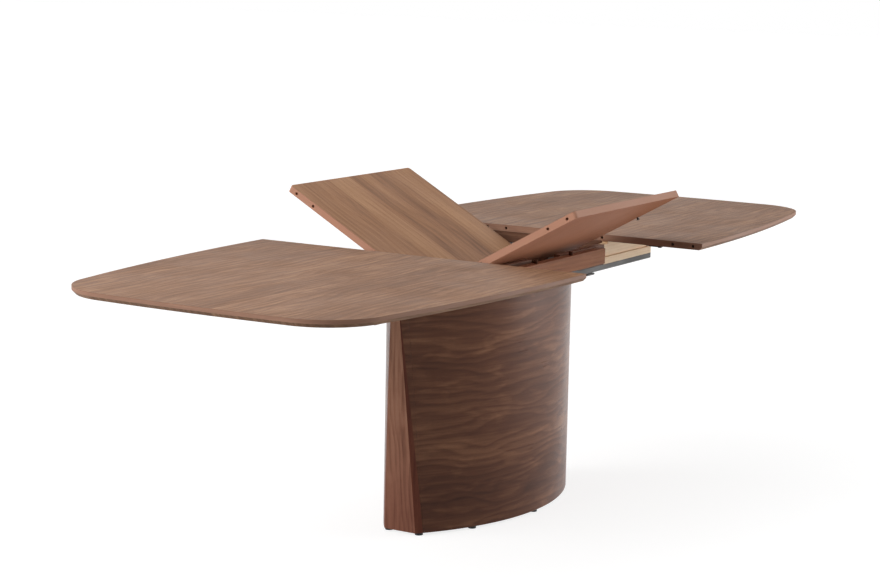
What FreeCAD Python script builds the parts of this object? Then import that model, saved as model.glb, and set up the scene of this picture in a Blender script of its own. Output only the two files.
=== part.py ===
import FreeCAD, Part
import math
import os
import re
import Sketcher

# Extending pedestal table with a self-storing butterfly leaf.
# Origin on the floor under the middle of the table, X along the length, Y across, Z up.
# It stands pulled open, with the leaf risen out of the pedestal as a V.

doc = FreeCAD.newDocument("ButterflyTable")
sheet = doc.addObject("Spreadsheet::Sheet", "Sizes")

DIMENSIONS = [
    # top halves
    ("table_height", 745, "floor to the show face"),
    ("top_thick", 19, "thickness of the top and of the leaf"),
    ("half_length", 993, "joint edge to the crown of the end"),
    ("top_width", 1010, "width at the joint edge"),
    ("side_radius", 5000, "bow of the long sides"),
    ("end_radius", 5000, "bow of the ends"),
    ("corner_radius", 168, "corners of the top"),
    ("edge_bevel", 9, "bevel under the outer edge"),
    ("rest_gap", 696, "between the joint edges, pulled open"),
    ("dowel_radius", 4, "alignment dowels"),
    ("dowel_seat", 24, "depth of a dowel hole"),
    ("dowel_reach", 8, "how far a dowel stands out of its edge"),
    ("dowel_inner", 158.5, "middle of the inner dowel pair from the centreline"),
    ("dowel_edge", 59.5, "long edge to the middle of the outer dowel pair"),
    ("dowel_pitch", 63, "between the dowels of a pair"),
    ("hole_clear", 0.1, "radial clearance of a dowel in its hole"),
    ("batten_width", 45, "battens under the top"),
    ("batten_deep", 22, "battens under the top"),
    ("batten_inner", 460, "joint edge to the middle of the inner batten"),
    ("batten_outer", 733, "joint edge to the middle of the outer batten"),
    ("batten_inner_end", 110, "width of the joint edge to the end of the inner batten"),
    ("batten_outer_end", 145, "width of the joint edge to the end of the outer batten"),
    # runners, rails and aprons
    ("apron_thick", 26, "walnut side rails of the frame"),
    ("apron_deep", 44, "walnut side rails of the frame"),
    ("apron_length", 568, "walnut side rails of the frame"),
    ("apron_face", 209, "centreline to the inner face of an apron"),
    ("apron_drop", 10, "top underside to the apron"),
    ("run_clear", 0.5, "between things that slide past each other"),
    ("runner_width", 20, "beech runners"),
    ("runner_length", 572, "beech runners"),
    ("runner_deep", 58, "beech runners, below their raised seat"),
    ("runner_drop", 7, "packer between the top and a runner"),
    ("runner_start", 62, "middle of the table to a runner, pulled open"),
    ("seat_inset", 4, "joint edge to the packer on a runner"),
    ("groove_high", 7, "guide groove of a runner"),
    ("groove_deep", 6, "guide groove of a runner"),
    ("groove_rise", 20.5, "runner underside to its groove"),
    ("rail_high", 15, "steel channels under the runners"),
    ("rail_wall", 2, "steel channels under the runners"),
    ("rail_mouth", 8, "slot of a steel channel"),
    ("shoe_length", 40, "nylon glide shoes"),
    ("shoe_clear", 0.3, "nylon shoe to steel"),
    ("shoe_near", 100, "middle of the table to the inner brackets"),
    ("shoe_far", 250, "middle of the table to the outer brackets"),
    ("bracket_thick", 5, "steel brackets that carry the slides"),
    ("bracket_width", 44, "steel brackets that carry the slides"),
    ("bracket_start", 112, "centreline to the inner end of a bracket"),
    ("rail_rise", 2, "bracket to steel channel"),
    ("rest_radius", 6, "buffers under the risen leaf"),
    ("rest_gap_high", 0.3, "buffer to leaf"),
    # synchronising gear
    ("gear_module", 2, "racks and pinion"),
    ("gear_teeth", 12, "pinion"),
    ("gear_addendum", 1.4, "stub teeth"),
    ("gear_dedendum", 1.9, "stub teeth"),
    ("gear_play", 0.3, "backlash taken from each tooth"),
    ("gear_wide", 8, "width of the racks"),
    ("pinion_wide", 10, "width of the pinion"),
    ("rack_back", 8, "rack behind its pitch line"),
    ("rack_overlap", 30, "rack beyond the pinion"),
    ("rack_rise", 5, "rail underside to the underside of the racks"),
    ("stud_radius", 4, "stud of the pinion"),
    ("hanger_place", 14, "joint edge to the rack hanger"),
    ("hanger_wide", 30, "rack hanger"),
    ("hanger_thick", 5, "rack hanger"),
    # pedestal
    ("shell_half", 192.5, "centreline to the outside of a curved side"),
    ("shell_end", 48.7, "the same at the foot of an end board"),
    ("shell_thick", 18, "curved sides"),
    ("pedestal_rise", 7, "floor to the pedestal"),
    ("end_reach", 413, "outside of the end boards at the bottom"),
    ("end_lean", 42.5, "how much further out they stand at the top"),
    ("end_thick", 18, "end boards"),
    ("base_thick", 18, "bottom board"),
    ("head_thick", 14, "board on top of the pedestal"),
    ("well_length", 630, "opening for the leaf in that board"),
    ("well_width", 206, "opening for the leaf in that board"),
    ("bulkhead_face", 350, "middle of the table to a bulkhead"),
    ("bulkhead_thick", 18, "bulkheads inside the pedestal"),
    ("glide_radius", 11, "floor glides"),
    ("glide_inset", 14, "outside of the pedestal to the middle of a glide"),
    ("glide_middle", 250, "middle of the table to the second glides"),
    ("glide_end", 392, "middle of the table to the end glides"),
    # lift inside the pedestal
    ("guide_flange", 28, "width of a guide rail"),
    ("guide_flange_thick", 4, "guide rail"),
    ("guide_web", 12, "guide rail"),
    ("guide_web_thick", 6, "guide rail"),
    ("guide_foot", 60, "floor to the foot of a guide rail"),
    ("guide_head", 5, "pedestal head to the top of a guide rail"),
    ("beam_size", 30, "square tube of the carriage"),
    ("beam_wall", 2, "square tube of the carriage"),
    ("beam_end", 328, "middle of the table to the end of the tube"),
    ("beam_drop", 120, "hinge axis to the top of the tube"),
    ("spring_place", 280, "middle of the table to a gas spring"),
    ("spring_radius", 11, "gas spring cylinder"),
    ("spring_wall", 2, "gas spring cylinder"),
    ("spring_head", 12, "closed ends of the cylinder"),
    ("spring_length", 300, "gas spring cylinder"),
    ("rod_radius", 4, "gas spring rod"),
    ("rod_length", 295, "gas spring rod with its piston"),
    ("rod_clear", 0.1, "rod in the head of the cylinder"),
    # leaf
    ("leaf_length", 610, "along the table"),
    ("leaf_split", 1, "centreline to the edge of a wing, flat"),
    ("fold_angle", 29, "each wing above flat"),
    ("leaf_drop", 73.5, "hinge axis below its flat place"),
    ("hinge_depth", 10, "show face to the hinge axis"),
    ("hinge_offset", 40, "centreline to the hinge axis"),
    ("arris", 2, "rounded inner edge of a wing"),
    ("wing_corner", 8, "outer corners of a wing"),
    ("hinge_place", 200, "middle of the table to a hinge"),
    ("ear_radius", 5.5, "hinge eyes"),
    ("ear_wide", 8, "middle eye of a hinge"),
    ("fork_wide", 7, "outer eyes of a hinge"),
    ("pin_radius", 2.5, "hinge pins"),
    ("pin_clear", 0.05, "radial clearance of a hinge pin"),
    ("notch_roof", 4, "wood left above a hinge"),
    ("plate_thick", 3, "hinge plates"),
    ("plate_length", 60, "hinge plates"),
    ("plate_wide", 40, "hinge plates"),
    # latches
    ("latch_inset", 24, "joint edge to the pivot of a latch"),
    ("latch_edge", 142, "long edge at the joint to a latch"),
    ("latch_reach", 34, "pivot to the keeper"),
    ("latch_end", 39, "pivot to the end of the lever"),
    ("lever_wide", 14, "lever"),
    ("lever_thick", 3, "lever"),
    ("keeper_radius", 3, "keepers and latch pivots"),
    ("keeper_head", 5, "radius of their heads"),
    ("head_high", 1.7, "height of their heads"),
    ("lever_drop", 2.3, "top underside to a lever"),
]

for row, (alias, size, note) in enumerate(DIMENSIONS, start=1):
    sheet.set(f"A{row}", alias)
    sheet.set(f"B{row}", str(size))
    sheet.setAlias(f"B{row}", alias)
    sheet.set(f"C{row}", note)
doc.recompute()

ALIASES = {alias for alias, size, note in DIMENSIONS}


# ---- expressions and placement

def full(expression):
    """An expression in aliases, as another object of the document reads it."""
    return re.sub(r"[a-z]\w*", lambda word: "Sizes." + word[0] if word[0] in ALIASES else word[0], expression)


def value(expression):
    """What an expression in aliases comes to now."""
    return float(sheet.evalExpression(expression))


def bind(thing, **properties):
    for name, expression in properties.items():
        thing.setExpression(name, full(expression))
    return thing


def place(thing, x="0", y="0", z="0", tilt="0"):
    """Puts a thing at x, y, z, turned by tilt degrees about X."""
    position = f"vector({x}; {y}; {z})"
    turn = f"rotation(vector(1; 0; 0); {tilt})"
    thing.setExpression("Placement", full(f"placement({position}; {turn})"))
    return thing


# ---- sketches and bodies

def newBody(name):
    body = doc.addObject("PartDesign::Body", name)
    body.Label = name
    return body


def newSketch(body, role):
    sketch = body.newObject("Sketcher::SketchObject", body.Name + "_sketch")
    plane = next(feature for feature in body.Origin.OriginFeatures if feature.Role == role)
    sketch.AttachmentSupport = [(plane, "")]
    sketch.MapMode = "FlatFace"
    return sketch


def fix(sketch, kind, *where):
    """A dimension whose last entry is an expression in aliases."""
    index = sketch.addConstraint(Sketcher.Constraint(kind, *where[:-1], value(where[-1])))
    sketch.setExpression(f"Constraints[{index}]", full(where[-1]))


def polygon(sketch, corners):
    """Closed outline through corners, each a pair of expressions."""
    first = sketch.GeometryCount
    points = [FreeCAD.Vector(value(x), value(y), 0) for x, y in corners]
    count = len(points)
    for index in range(count):
        sketch.addGeometry(Part.LineSegment(points[index], points[(index + 1) % count]), False)
    for index, (x, y) in enumerate(corners):
        sketch.addConstraint(
            Sketcher.Constraint("Coincident", first + index, 2, first + (index + 1) % count, 1))
        fix(sketch, "DistanceX", -1, 1, first + index, 1, x)
        fix(sketch, "DistanceY", -1, 1, first + index, 1, y)


def circles(sketch, centres, radius):
    for x, y in centres:
        centre = FreeCAD.Vector(value(x), value(y), 0)
        index = sketch.addGeometry(Part.Circle(centre, FreeCAD.Vector(0, 0, 1), value(radius)), False)
        fix(sketch, "DistanceX", -1, 1, index, 3, x)
        fix(sketch, "DistanceY", -1, 1, index, 3, y)
        fix(sketch, "Radius", index, radius)


def pad(body, sketch, length, side="One side", reverse=False):
    feature = body.newObject("PartDesign::Pad", body.Name + "_pad")
    feature.Profile = sketch
    feature.SideType = side
    feature.Reversed = reverse
    return bind(feature, Length=length)


def pocket(body, sketch, depth, side="One side", reverse=False):
    feature = body.newObject("PartDesign::Pocket", body.Name + "_pocket")
    feature.Profile = sketch
    feature.SideType = side
    feature.Reversed = reverse
    return bind(feature, Length=depth)


def edgesWhere(feature, test):
    return [f"Edge{number}" for number, edge in enumerate(feature.Shape.Edges, start=1) if test(edge)]


def dress(body, kind, feature, test, **size):
    """A fillet or chamfer on the edges of a feature that pass a test."""
    doc.recompute()
    finish = body.newObject("PartDesign::" + kind, body.Name + "_" + kind.lower())
    finish.Base = (feature, edgesWhere(feature, test))
    return bind(finish, **size)


def upright(edge):
    start, end = edge.Vertexes[0].Point, edge.Vertexes[-1].Point
    return math.hypot(start.x - end.x, start.y - end.y) < 0.001 < abs(start.z - end.z)


def bar(name, corners, length, side="One side"):
    """A section in YZ, padded along X."""
    body = newBody(name)
    sketch = newSketch(body, "YZ_Plane")
    polygon(sketch, corners)
    pad(body, sketch, length, side)
    return body


# ---- primitives and booleans

def box(name, x, y, z):
    """A block from three pairs of expressions, each a low and a high face."""
    block = doc.addObject("Part::Box", name)
    bind(block, Length=f"{x[1]} - ({x[0]})", Width=f"{y[1]} - ({y[0]})", Height=f"{z[1]} - ({z[0]})")
    return place(block, x[0], y[0], z[0])


def cylinder(name, x, y, z, radius):
    """An upright cylinder between the two faces in z."""
    tube = doc.addObject("Part::Cylinder", name)
    bind(tube, Radius=radius, Height=f"{z[1]} - ({z[0]})")
    return place(tube, x, y, z[0])


def rod(name, x, y, z, radius):
    """A cylinder along X between the two faces in x."""
    bar = doc.addObject("Part::Cylinder", name)
    bind(bar, Radius=radius, Height=f"{x[1]} - ({x[0]})")
    turn = "rotation(vector(0; 1; 0); 90)"
    bar.setExpression("Placement", full(f"placement(vector({x[0]}; {y}; {z}); {turn})"))
    return bar


def fuse(name, *shapes):
    joined = doc.addObject("Part::MultiFuse", name)
    joined.Shapes = shapes
    joined.Refine = True
    return joined


def common(name, *shapes):
    shared = doc.addObject("Part::MultiCommon", name)
    shared.Shapes = shapes
    return shared


def cut(name, base, *tools):
    result = doc.addObject("Part::Cut", name)
    result.Base = base
    result.Tool = tools[0] if len(tools) == 1 else fuse(name + "_tools", *tools)
    return result


def group(name, *solids):
    """Like pieces that stay separate solids under one name."""
    compound = doc.addObject("Part::Compound", name)
    compound.Links = solids
    return compound


def mirrored(name, source, normal):
    image = doc.addObject("Part::Mirroring", name)
    image.Source = source
    image.Normal = FreeCAD.Vector(*normal)
    return image


ACROSS = (0, 1, 0)
ALONG = (1, 0, 0)


def acrossPair(name, far):
    return group(name, far, mirrored(name + "_near", far, ACROSS))


nodes = []


def keep(thing, name=None):
    """Marks a finished piece; its label names its file."""
    thing.Label = name or thing.Name
    nodes.append(thing)
    return thing


def keepPair(far, stem):
    """A piece on the far side and its mirror image on the near side."""
    keep(far, stem + "_far")
    keep(mirrored(stem + "_near", far, ACROSS))


def keepEnds(right, stem):
    """A piece at the right end and its mirror image at the left end."""
    keep(right, stem + "_right")
    keep(mirrored(stem + "_left", right, ALONG))


# ---- heights and places that several pieces share

UNDER = "(table_height - top_thick)"
MIDDLE = "(table_height - top_thick / 2)"
EDGE = "(rest_gap / 2)"
DOWEL_ROWS = [f"({pair} {sign} dowel_pitch / 2)"
              for pair in ("dowel_inner", "top_width / 2 - dowel_edge") for sign in "-+"]
RUNNER_TOP = f"({UNDER} - runner_drop)"
RUNNER_FOOT = f"({RUNNER_TOP} - runner_deep)"
RAIL_FOOT = f"({RUNNER_FOOT} - rail_high)"
BED = f"({RAIL_FOOT} - rail_rise)"
HEAD = f"({BED} - bracket_thick)"
OUTER_RUN = "(apron_face - run_clear - runner_width)"
INNER_RUN = f"({OUTER_RUN} - run_clear - runner_width)"
APRON_TOP = f"({UNDER} - apron_drop)"
SHELL_TOP = f"({HEAD} - head_thick)"
HINGE = "(table_height - hinge_depth - leaf_drop)"


# ---- top halves

def circlesMeet(first, first_radius, second, second_radius):
    """The upper crossing of two circles."""
    apart = second - first
    along = (first_radius ** 2 - second_radius ** 2 + apart.Length ** 2) / (2 * apart.Length)
    aside = math.sqrt(first_radius ** 2 - along ** 2)
    step = FreeCAD.Vector(apart).normalize()
    square = FreeCAD.Vector(-step.y, step.x, 0)
    return max((first + step * along + square * aside * side for side in (-1, 1)), key=lambda point: point.y)


def arc(centre, radius, start, end):
    circle = Part.Circle(centre, FreeCAD.Vector(0, 0, 1), radius)
    turn = [math.atan2(point.y - centre.y, point.x - centre.x) for point in (start, end)]
    return Part.ArcOfCircle(circle, turn[0], turn[1])


def topOutline(sketch):
    """Joint edge, bowed long sides and a bowed end, symmetric about X."""
    half, length = value("top_width / 2"), value("half_length")
    side, end = value("side_radius"), value("end_radius")
    side_centre, end_centre = FreeCAD.Vector(0, half - side, 0), FreeCAD.Vector(length - end, 0, 0)
    corner = circlesMeet(side_centre, side, end_centre, end)
    low_corner = FreeCAD.Vector(corner.x, -corner.y, 0)
    top, bottom = FreeCAD.Vector(0, half, 0), FreeCAD.Vector(0, -half, 0)
    sketch.addGeometry(Part.LineSegment(bottom, top), False)
    sketch.addGeometry(arc(side_centre, side, corner, top), False)
    sketch.addGeometry(arc(end_centre, end, low_corner, corner), False)
    sketch.addGeometry(arc(-side_centre, side, bottom, low_corner), False)
    for joint in ((0, 1, 3, 1), (0, 2, 1, 2), (1, 1, 2, 2), (2, 1, 3, 2)):
        sketch.addConstraint(Sketcher.Constraint("Coincident", *joint))
    fix(sketch, "DistanceX", -1, 1, 0, 1, "0")
    fix(sketch, "DistanceX", -1, 1, 0, 2, "0")
    fix(sketch, "DistanceY", -1, 1, 0, 2, "top_width / 2")
    fix(sketch, "DistanceY", -1, 1, 0, 1, "-top_width / 2")
    for side_arc, sign in ((1, ""), (3, "-")):
        fix(sketch, "DistanceX", -1, 1, side_arc, 3, "0")
        fix(sketch, "DistanceY", -1, 1, side_arc, 3, f"{sign}(top_width / 2 - side_radius)")
    fix(sketch, "DistanceX", -1, 1, 2, 3, "half_length - end_radius")
    fix(sketch, "DistanceY", -1, 1, 2, 3, "0")
    fix(sketch, "Radius", 2, "end_radius")


def makeTop():
    """Right half, with dowel holes in its joint edge."""
    body = newBody("top_right")
    outline = newSketch(body, "XY_Plane")
    topOutline(outline)
    board = pad(body, outline, "top_thick")
    rounded = dress(body, "Fillet", board, lambda edge: upright(edge) and edge.Vertexes[0].X > 1,
                    Radius="corner_radius")
    holes = newSketch(body, "YZ_Plane")
    circles(holes, [(sign + row, "top_thick / 2") for row in DOWEL_ROWS for sign in ("", "-")],
            "dowel_radius + hole_clear")
    drilled = pocket(body, holes, "dowel_seat", reverse=True)
    dress(body, "Chamfer", drilled,
          lambda edge: edge.BoundBox.ZMax < 0.001 and edge.BoundBox.XMax > 1, Size="edge_bevel")
    return place(body, EDGE, "0", UNDER)


top_right = makeTop()
keepEnds(top_right, "top")

dowels = [rod(f"dowel_{number}", (f"-{EDGE} - dowel_seat + run_clear", f"-{EDGE} + dowel_reach"),
              row, MIDDLE, "dowel_radius") for number, row in enumerate(DOWEL_ROWS)]
keep(acrossPair("dowels_left", group("dowels_far", *dowels)))


def makeBatten(order):
    """A batten across the underside."""
    reach = f"(top_width / 2 - batten_{order}_end)"
    body = newBody(f"batten_{order}_right")
    sketch = newSketch(body, "YZ_Plane")
    polygon(sketch, [(f"-{reach}", "0"), (reach, "0"), (reach, "batten_deep"), (f"-{reach}", "batten_deep")])
    pad(body, sketch, "batten_width", "Symmetric")
    return place(body, f"{EDGE} + batten_{order}", "0", f"{UNDER} - batten_deep")


for order in ("inner", "outer"):
    keepEnds(makeBatten(order), f"batten_{order}")


# ---- runners and steel channels

def makeRunner(name, start, packer_x, inner_face):
    """Beech runner, grooved on its outer side, with the packer that meets the top."""
    grooved = bar(name + "_bar", [("0", "0"), ("runner_width", "0"), ("runner_width", "groove_rise"),
                                  ("runner_width - groove_deep", "groove_rise"),
                                  ("runner_width - groove_deep", "groove_rise + groove_high"),
                                  ("runner_width", "groove_rise + groove_high"),
                                  ("runner_width", "runner_deep"), ("0", "runner_deep")], "runner_length")
    place(grooved, start, inner_face, RUNNER_FOOT)
    packer = box(name + "_packer", packer_x, (inner_face, f"{inner_face} + runner_width"),
                 (RUNNER_TOP, UNDER))
    return group(name, grooved, packer)


def makeRail(name, start, inner_face):
    """Steel channel with its slot downwards, screwed under a runner."""
    lip = "(runner_width - rail_mouth) / 2"
    wide = "runner_width"
    body = bar(name, [("0", "0"), (lip, "0"), (lip, "rail_wall"), ("rail_wall", "rail_wall"),
                      ("rail_wall", "rail_high - rail_wall"),
                      (f"{wide} - rail_wall", "rail_high - rail_wall"),
                      (f"{wide} - rail_wall", "rail_wall"), (f"{wide} - {lip}", "rail_wall"),
                      (f"{wide} - {lip}", "0"), (wide, "0"), (wide, "rail_high"), ("0", "rail_high")],
               "runner_length")
    return place(body, start, inner_face, RAIL_FOOT)


PACKER_IN = f"({EDGE} + seat_inset)"
RUNNER_OUT = "(runner_start + runner_length)"
LEFT_START = f"-{RUNNER_OUT}"
keepPair(makeRunner("runner_right_far", "runner_start", (PACKER_IN, RUNNER_OUT), OUTER_RUN), "runner_right")
keepPair(makeRunner("runner_left_far", LEFT_START, (LEFT_START, f"-{PACKER_IN}"), INNER_RUN), "runner_left")
keepPair(makeRail("rail_right_far", "runner_start", OUTER_RUN), "rail_right")
keepPair(makeRail("rail_left_far", LEFT_START, INNER_RUN), "rail_left")


# ---- frame on the pedestal

def makeApron():
    """Walnut side rail with the tongue that runs in the grooves."""
    tongue_low = f"{RUNNER_FOOT} + groove_rise + run_clear - ({APRON_TOP} - apron_deep)"
    tongue_high = f"{tongue_low} + groove_high - 2 * run_clear"
    reach = "-(groove_deep - run_clear) - run_clear"
    body = bar("apron_far", [("0", "0"), ("apron_thick", "0"), ("apron_thick", "apron_deep"),
                             ("0", "apron_deep"), ("0", tongue_high), (reach, tongue_high),
                             (reach, tongue_low), ("0", tongue_low)], "apron_length", "Symmetric")
    return place(body, "0", "apron_face", f"{APRON_TOP} - apron_deep")


keepPair(makeApron(), "apron")


def makeApronBracket(name, x):
    """Steel bracket from the pedestal head, stepped up to carry an apron."""
    rise = f"({APRON_TOP} - apron_deep - {HEAD})"
    web = "(apron_face - bracket_start + apron_thick / 3)"
    outer = "(apron_face - bracket_start + apron_thick)"
    body = bar(name, [("0", "0"), (f"{web} + bracket_thick", "0"),
                      (f"{web} + bracket_thick", f"{rise} - bracket_thick"),
                      (outer, f"{rise} - bracket_thick"), (outer, rise),
                      ("apron_face - bracket_start", rise),
                      ("apron_face - bracket_start", f"{rise} - bracket_thick"),
                      (web, f"{rise} - bracket_thick"), (web, "bracket_thick"), ("0", "bracket_thick")],
               "bracket_width", "Symmetric")
    return place(body, x, "bracket_start", HEAD)


inner_brackets = [makeApronBracket(f"apron_bracket_{name}", x)
                  for name, x in (("right", "shoe_near"), ("left", "-shoe_near"))]
keep(acrossPair("apron_brackets", group("apron_brackets_far", *inner_brackets)))

outer_brackets = [box(f"slide_bracket_{name}", (f"{x} - bracket_width / 2", f"{x} + bracket_width / 2"),
                      ("bracket_start", "apron_face"), (HEAD, BED))
                  for name, x in (("right", "shoe_far"), ("left", "-shoe_far"))]
keep(acrossPair("slide_brackets", group("slide_brackets_far", *outer_brackets)))


def makeShoe(name, x, inner_face):
    """Nylon T that a steel channel slides on and can't lift off."""
    stem = "(rail_mouth / 2 - shoe_clear)"
    head = "(runner_width / 2 - rail_wall - shoe_clear)"
    neck = "rail_rise + rail_wall + shoe_clear"
    top = "rail_rise + rail_high - rail_wall - shoe_clear"
    body = bar(name, [(f"-{stem}", "0"), (stem, "0"), (stem, neck), (head, neck), (head, top),
                      (f"-{head}", top), (f"-{head}", neck), (f"-{stem}", neck)],
               "shoe_length", "Symmetric")
    return place(body, x, f"{inner_face} + runner_width / 2", BED)


shoes = [makeShoe(f"shoe_{order}_{side}", sign + f"shoe_{order}", face)
         for order in ("near", "far")
         for side, sign, face in (("right", "", OUTER_RUN), ("left", "-", INNER_RUN))]
keep(acrossPair("glide_shoes", group("glide_shoes_far", *shoes)))

rest_high = cylinder("leaf_rest", "shoe_near", "apron_face + apron_thick / 2",
                     (APRON_TOP, f"{UNDER} - rest_gap_high"), "rest_radius")
rests = group("leaf_rests_far", rest_high, mirrored("leaf_rest_left", rest_high, ALONG))
keep(acrossPair("leaf_rests", rests))


# ---- synchronising racks and pinions

PITCH_RADIUS = "(gear_module * gear_teeth / 2)"
LEFT_PITCH_LINE = f"({INNER_RUN} - rack_back)"
PINION_Y = f"({LEFT_PITCH_LINE} - {PITCH_RADIUS})"
RIGHT_PITCH_LINE = f"({PINION_Y} - {PITCH_RADIUS})"
RACK_FOOT = f"({RAIL_FOOT} + rack_rise)"
PRESSURE_ANGLE = math.radians(20)
FLANK_STEPS = 4


def involute(angle):
    return math.tan(angle) - angle


def pinionOutline():
    """Involute teeth, one of them pointing along Y."""
    teeth, pitch_radius = int(value("gear_teeth")), value(PITCH_RADIUS)
    base_radius = pitch_radius * math.cos(PRESSURE_ANGLE)
    tip, root = pitch_radius + value("gear_addendum"), pitch_radius - value("gear_dedendum")
    half_tooth = math.pi / (2 * teeth) - value("gear_play") / (2 * pitch_radius) + involute(PRESSURE_ANGLE)
    start = max(base_radius, root)
    flank = []
    for step in range(FLANK_STEPS + 1):
        radius = start + (tip - start) * step / FLANK_STEPS
        flank.append((radius, half_tooth - involute(math.acos(min(1, base_radius / radius)))))
    flank.insert(0, (root, flank[0][1]))
    points = []
    for tooth in range(teeth):
        middle = math.pi / 2 - 2 * math.pi * tooth / teeth
        sides = [(radius, middle + angle) for radius, angle in flank]
        sides += [(radius, middle - angle) for radius, angle in reversed(flank)]
        points += [FreeCAD.Vector(radius * math.cos(angle), radius * math.sin(angle), 0)
                   for radius, angle in sides]
    return points


def rackOutline(start, end, towards):
    """A rack along X with its pitch line on Y = 0 and a gap at X = 0, teeth towards +Y or -Y."""
    pitch = math.pi * value("gear_module")
    half = pitch / 4 - value("gear_play") / 2
    tip, root = value("gear_addendum"), -value("gear_dedendum")
    slope = math.tan(PRESSURE_ANGLE)
    points = [(start, -value("rack_back")), (start, root)]
    for tooth in range(math.ceil(start / pitch), math.floor(end / pitch)):
        middle = (tooth + 0.5) * pitch
        points += [(middle - half + root * slope, root), (middle - half + tip * slope, tip),
                   (middle + half - tip * slope, tip), (middle + half - root * slope, root)]
    points += [(end, root), (end, -value("rack_back"))]
    return [FreeCAD.Vector(x, y * towards, 0) for x, y in points]


def plate(name, points, height, position):
    """A flat piece from an outline that is worked out, with its thickness along Z."""
    feature = doc.addObject("Part::Feature", name)
    face = Part.Face(Part.makePolygon(points + points[:1]))
    feature.Shape = face.extrude(FreeCAD.Vector(0, 0, height))
    return place(feature, *position)


RIGHT_RACK_END = f"({EDGE} + hanger_place + hanger_wide)"
left_rack = plate("rack_left", rackOutline(value(f"-{EDGE}"), value("rack_overlap"), -1),
                  value("gear_wide"), ("0", LEFT_PITCH_LINE, RACK_FOOT))
right_rack = plate("rack_right", rackOutline(value("-rack_overlap"), value(RIGHT_RACK_END), 1),
                   value("gear_wide"), ("0", RIGHT_PITCH_LINE, RACK_FOOT))
keep(acrossPair("racks_left", left_rack))
keep(acrossPair("racks_right", right_rack))

hanger_line = f"({RIGHT_PITCH_LINE} - rack_back)"
hanger_x = (f"{EDGE} + hanger_place", RIGHT_RACK_END)
hanger = fuse("rack_hanger",
              box("hanger_leg", hanger_x, (hanger_line, f"{hanger_line} + hanger_thick"),
                  (f"{RACK_FOOT} + gear_wide", UNDER)),
              box("hanger_foot", hanger_x, (hanger_line, f"{hanger_line} + 6 * hanger_thick"),
                  (f"{UNDER} - hanger_thick", UNDER)))
keep(acrossPair("rack_hangers", hanger))


def makePinion():
    wheel = plate("pinion_wheel", pinionOutline(), value("pinion_wide"),
                  ("0", PINION_Y, f"{RACK_FOOT} - (pinion_wide - gear_wide) / 2"))
    bore = cylinder("pinion_bore", "0", PINION_Y, (HEAD, UNDER), "stud_radius + pin_clear")
    return cut("pinion_far", wheel, bore)


keepPair(makePinion(), "pinion")

pinion_foot = f"{RACK_FOOT} - (pinion_wide - gear_wide) / 2"
stud = fuse("pinion_stud",
            cylinder("stud_flange", "0", PINION_Y, (HEAD, f"{pinion_foot} - shoe_clear"), "2 * stud_radius"),
            cylinder("stud_shaft", "0", PINION_Y, (HEAD, f"{pinion_foot} + pinion_wide + shoe_clear"),
                     "stud_radius"),
            cylinder("stud_clip", "0", PINION_Y,
                     (f"{pinion_foot} + pinion_wide + shoe_clear", f"{pinion_foot} + pinion_wide + 2"),
                     "1.5 * stud_radius"))
keep(acrossPair("pinion_studs", stud))


# ---- pedestal

SHELL_BOW = "(shell_half - shell_end)"
SHELL_RADIUS = f"((end_reach ^ 2 + {SHELL_BOW} ^ 2) / (2 * {SHELL_BOW}))"
SHELL_CENTRE = f"({SHELL_RADIUS} - shell_half)"
INNER_RADIUS = f"({SHELL_RADIUS} - shell_thick)"


def lens(name, radius, z):
    """The space that two crossing cylinders share."""
    far = cylinder(name + "_far", "0", f"-{SHELL_CENTRE}", z, radius)
    near = cylinder(name + "_near", "0", SHELL_CENTRE, z, radius)
    return common(name, far, near)


def leaning(name, low, high, y):
    """A block between two pairs of X at the foot and at the head of the pedestal."""
    wedge = doc.addObject("Part::Wedge", name)
    bind(wedge, Xmin=low[0], Xmax=low[1], X2min=high[0], X2max=high[1],
         Ymin="0", Ymax=f"{SHELL_TOP} - pedestal_rise",
         Zmin=f"-({y[1]})", Zmax=f"-({y[0]})", Z2min=f"-({y[1]})", Z2max=f"-({y[0]})")
    return place(wedge, "0", "0", "pedestal_rise", tilt="90")


PEDESTAL_Z = ("pedestal_rise", SHELL_TOP)
FOOT_IN = "(end_reach - end_thick)"
HEAD_IN = "(end_reach + end_lean - end_thick)"

band = cut("shell_band", cylinder("shell_outside", "0", f"-{SHELL_CENTRE}", PEDESTAL_Z, SHELL_RADIUS),
           cylinder("shell_inside", "0", f"-{SHELL_CENTRE}", PEDESTAL_Z, INNER_RADIUS))
between = leaning("between_ends", (f"-{FOOT_IN}", FOOT_IN), (f"-{HEAD_IN}", HEAD_IN), ("0", "shell_half"))
keepPair(common("shell_far", band, between), "shell")

end_slab = leaning("end_slab", (FOOT_IN, "end_reach"), (HEAD_IN, "end_reach + end_lean"),
                   ("-shell_half", "shell_half"))
keepEnds(common("end_board_right", lens("pedestal_lens", SHELL_RADIUS, PEDESTAL_Z), end_slab), "end_board")

floor_z = ("pedestal_rise", "pedestal_rise + base_thick")
floor_space = leaning("floor_space", (f"-{FOOT_IN}", FOOT_IN), (f"-{HEAD_IN}", HEAD_IN),
                      ("-shell_half", "shell_half"))
keep(common("base_board", lens("base_lens", INNER_RADIUS, floor_z), floor_space))

head_z = (SHELL_TOP, HEAD)
head_reach = "end_reach + end_lean"
head_lens = lens("head_lens", SHELL_RADIUS, head_z)
head_board = common("head_board", head_lens, box("head_span", (f"-({head_reach})", head_reach),
                                                 ("-shell_half", "shell_half"), head_z))
well = box("leaf_well", ("-well_length / 2", "well_length / 2"), ("-well_width / 2", "well_width / 2"), head_z)
keep(cut("sub_top", head_board, well))

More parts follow.
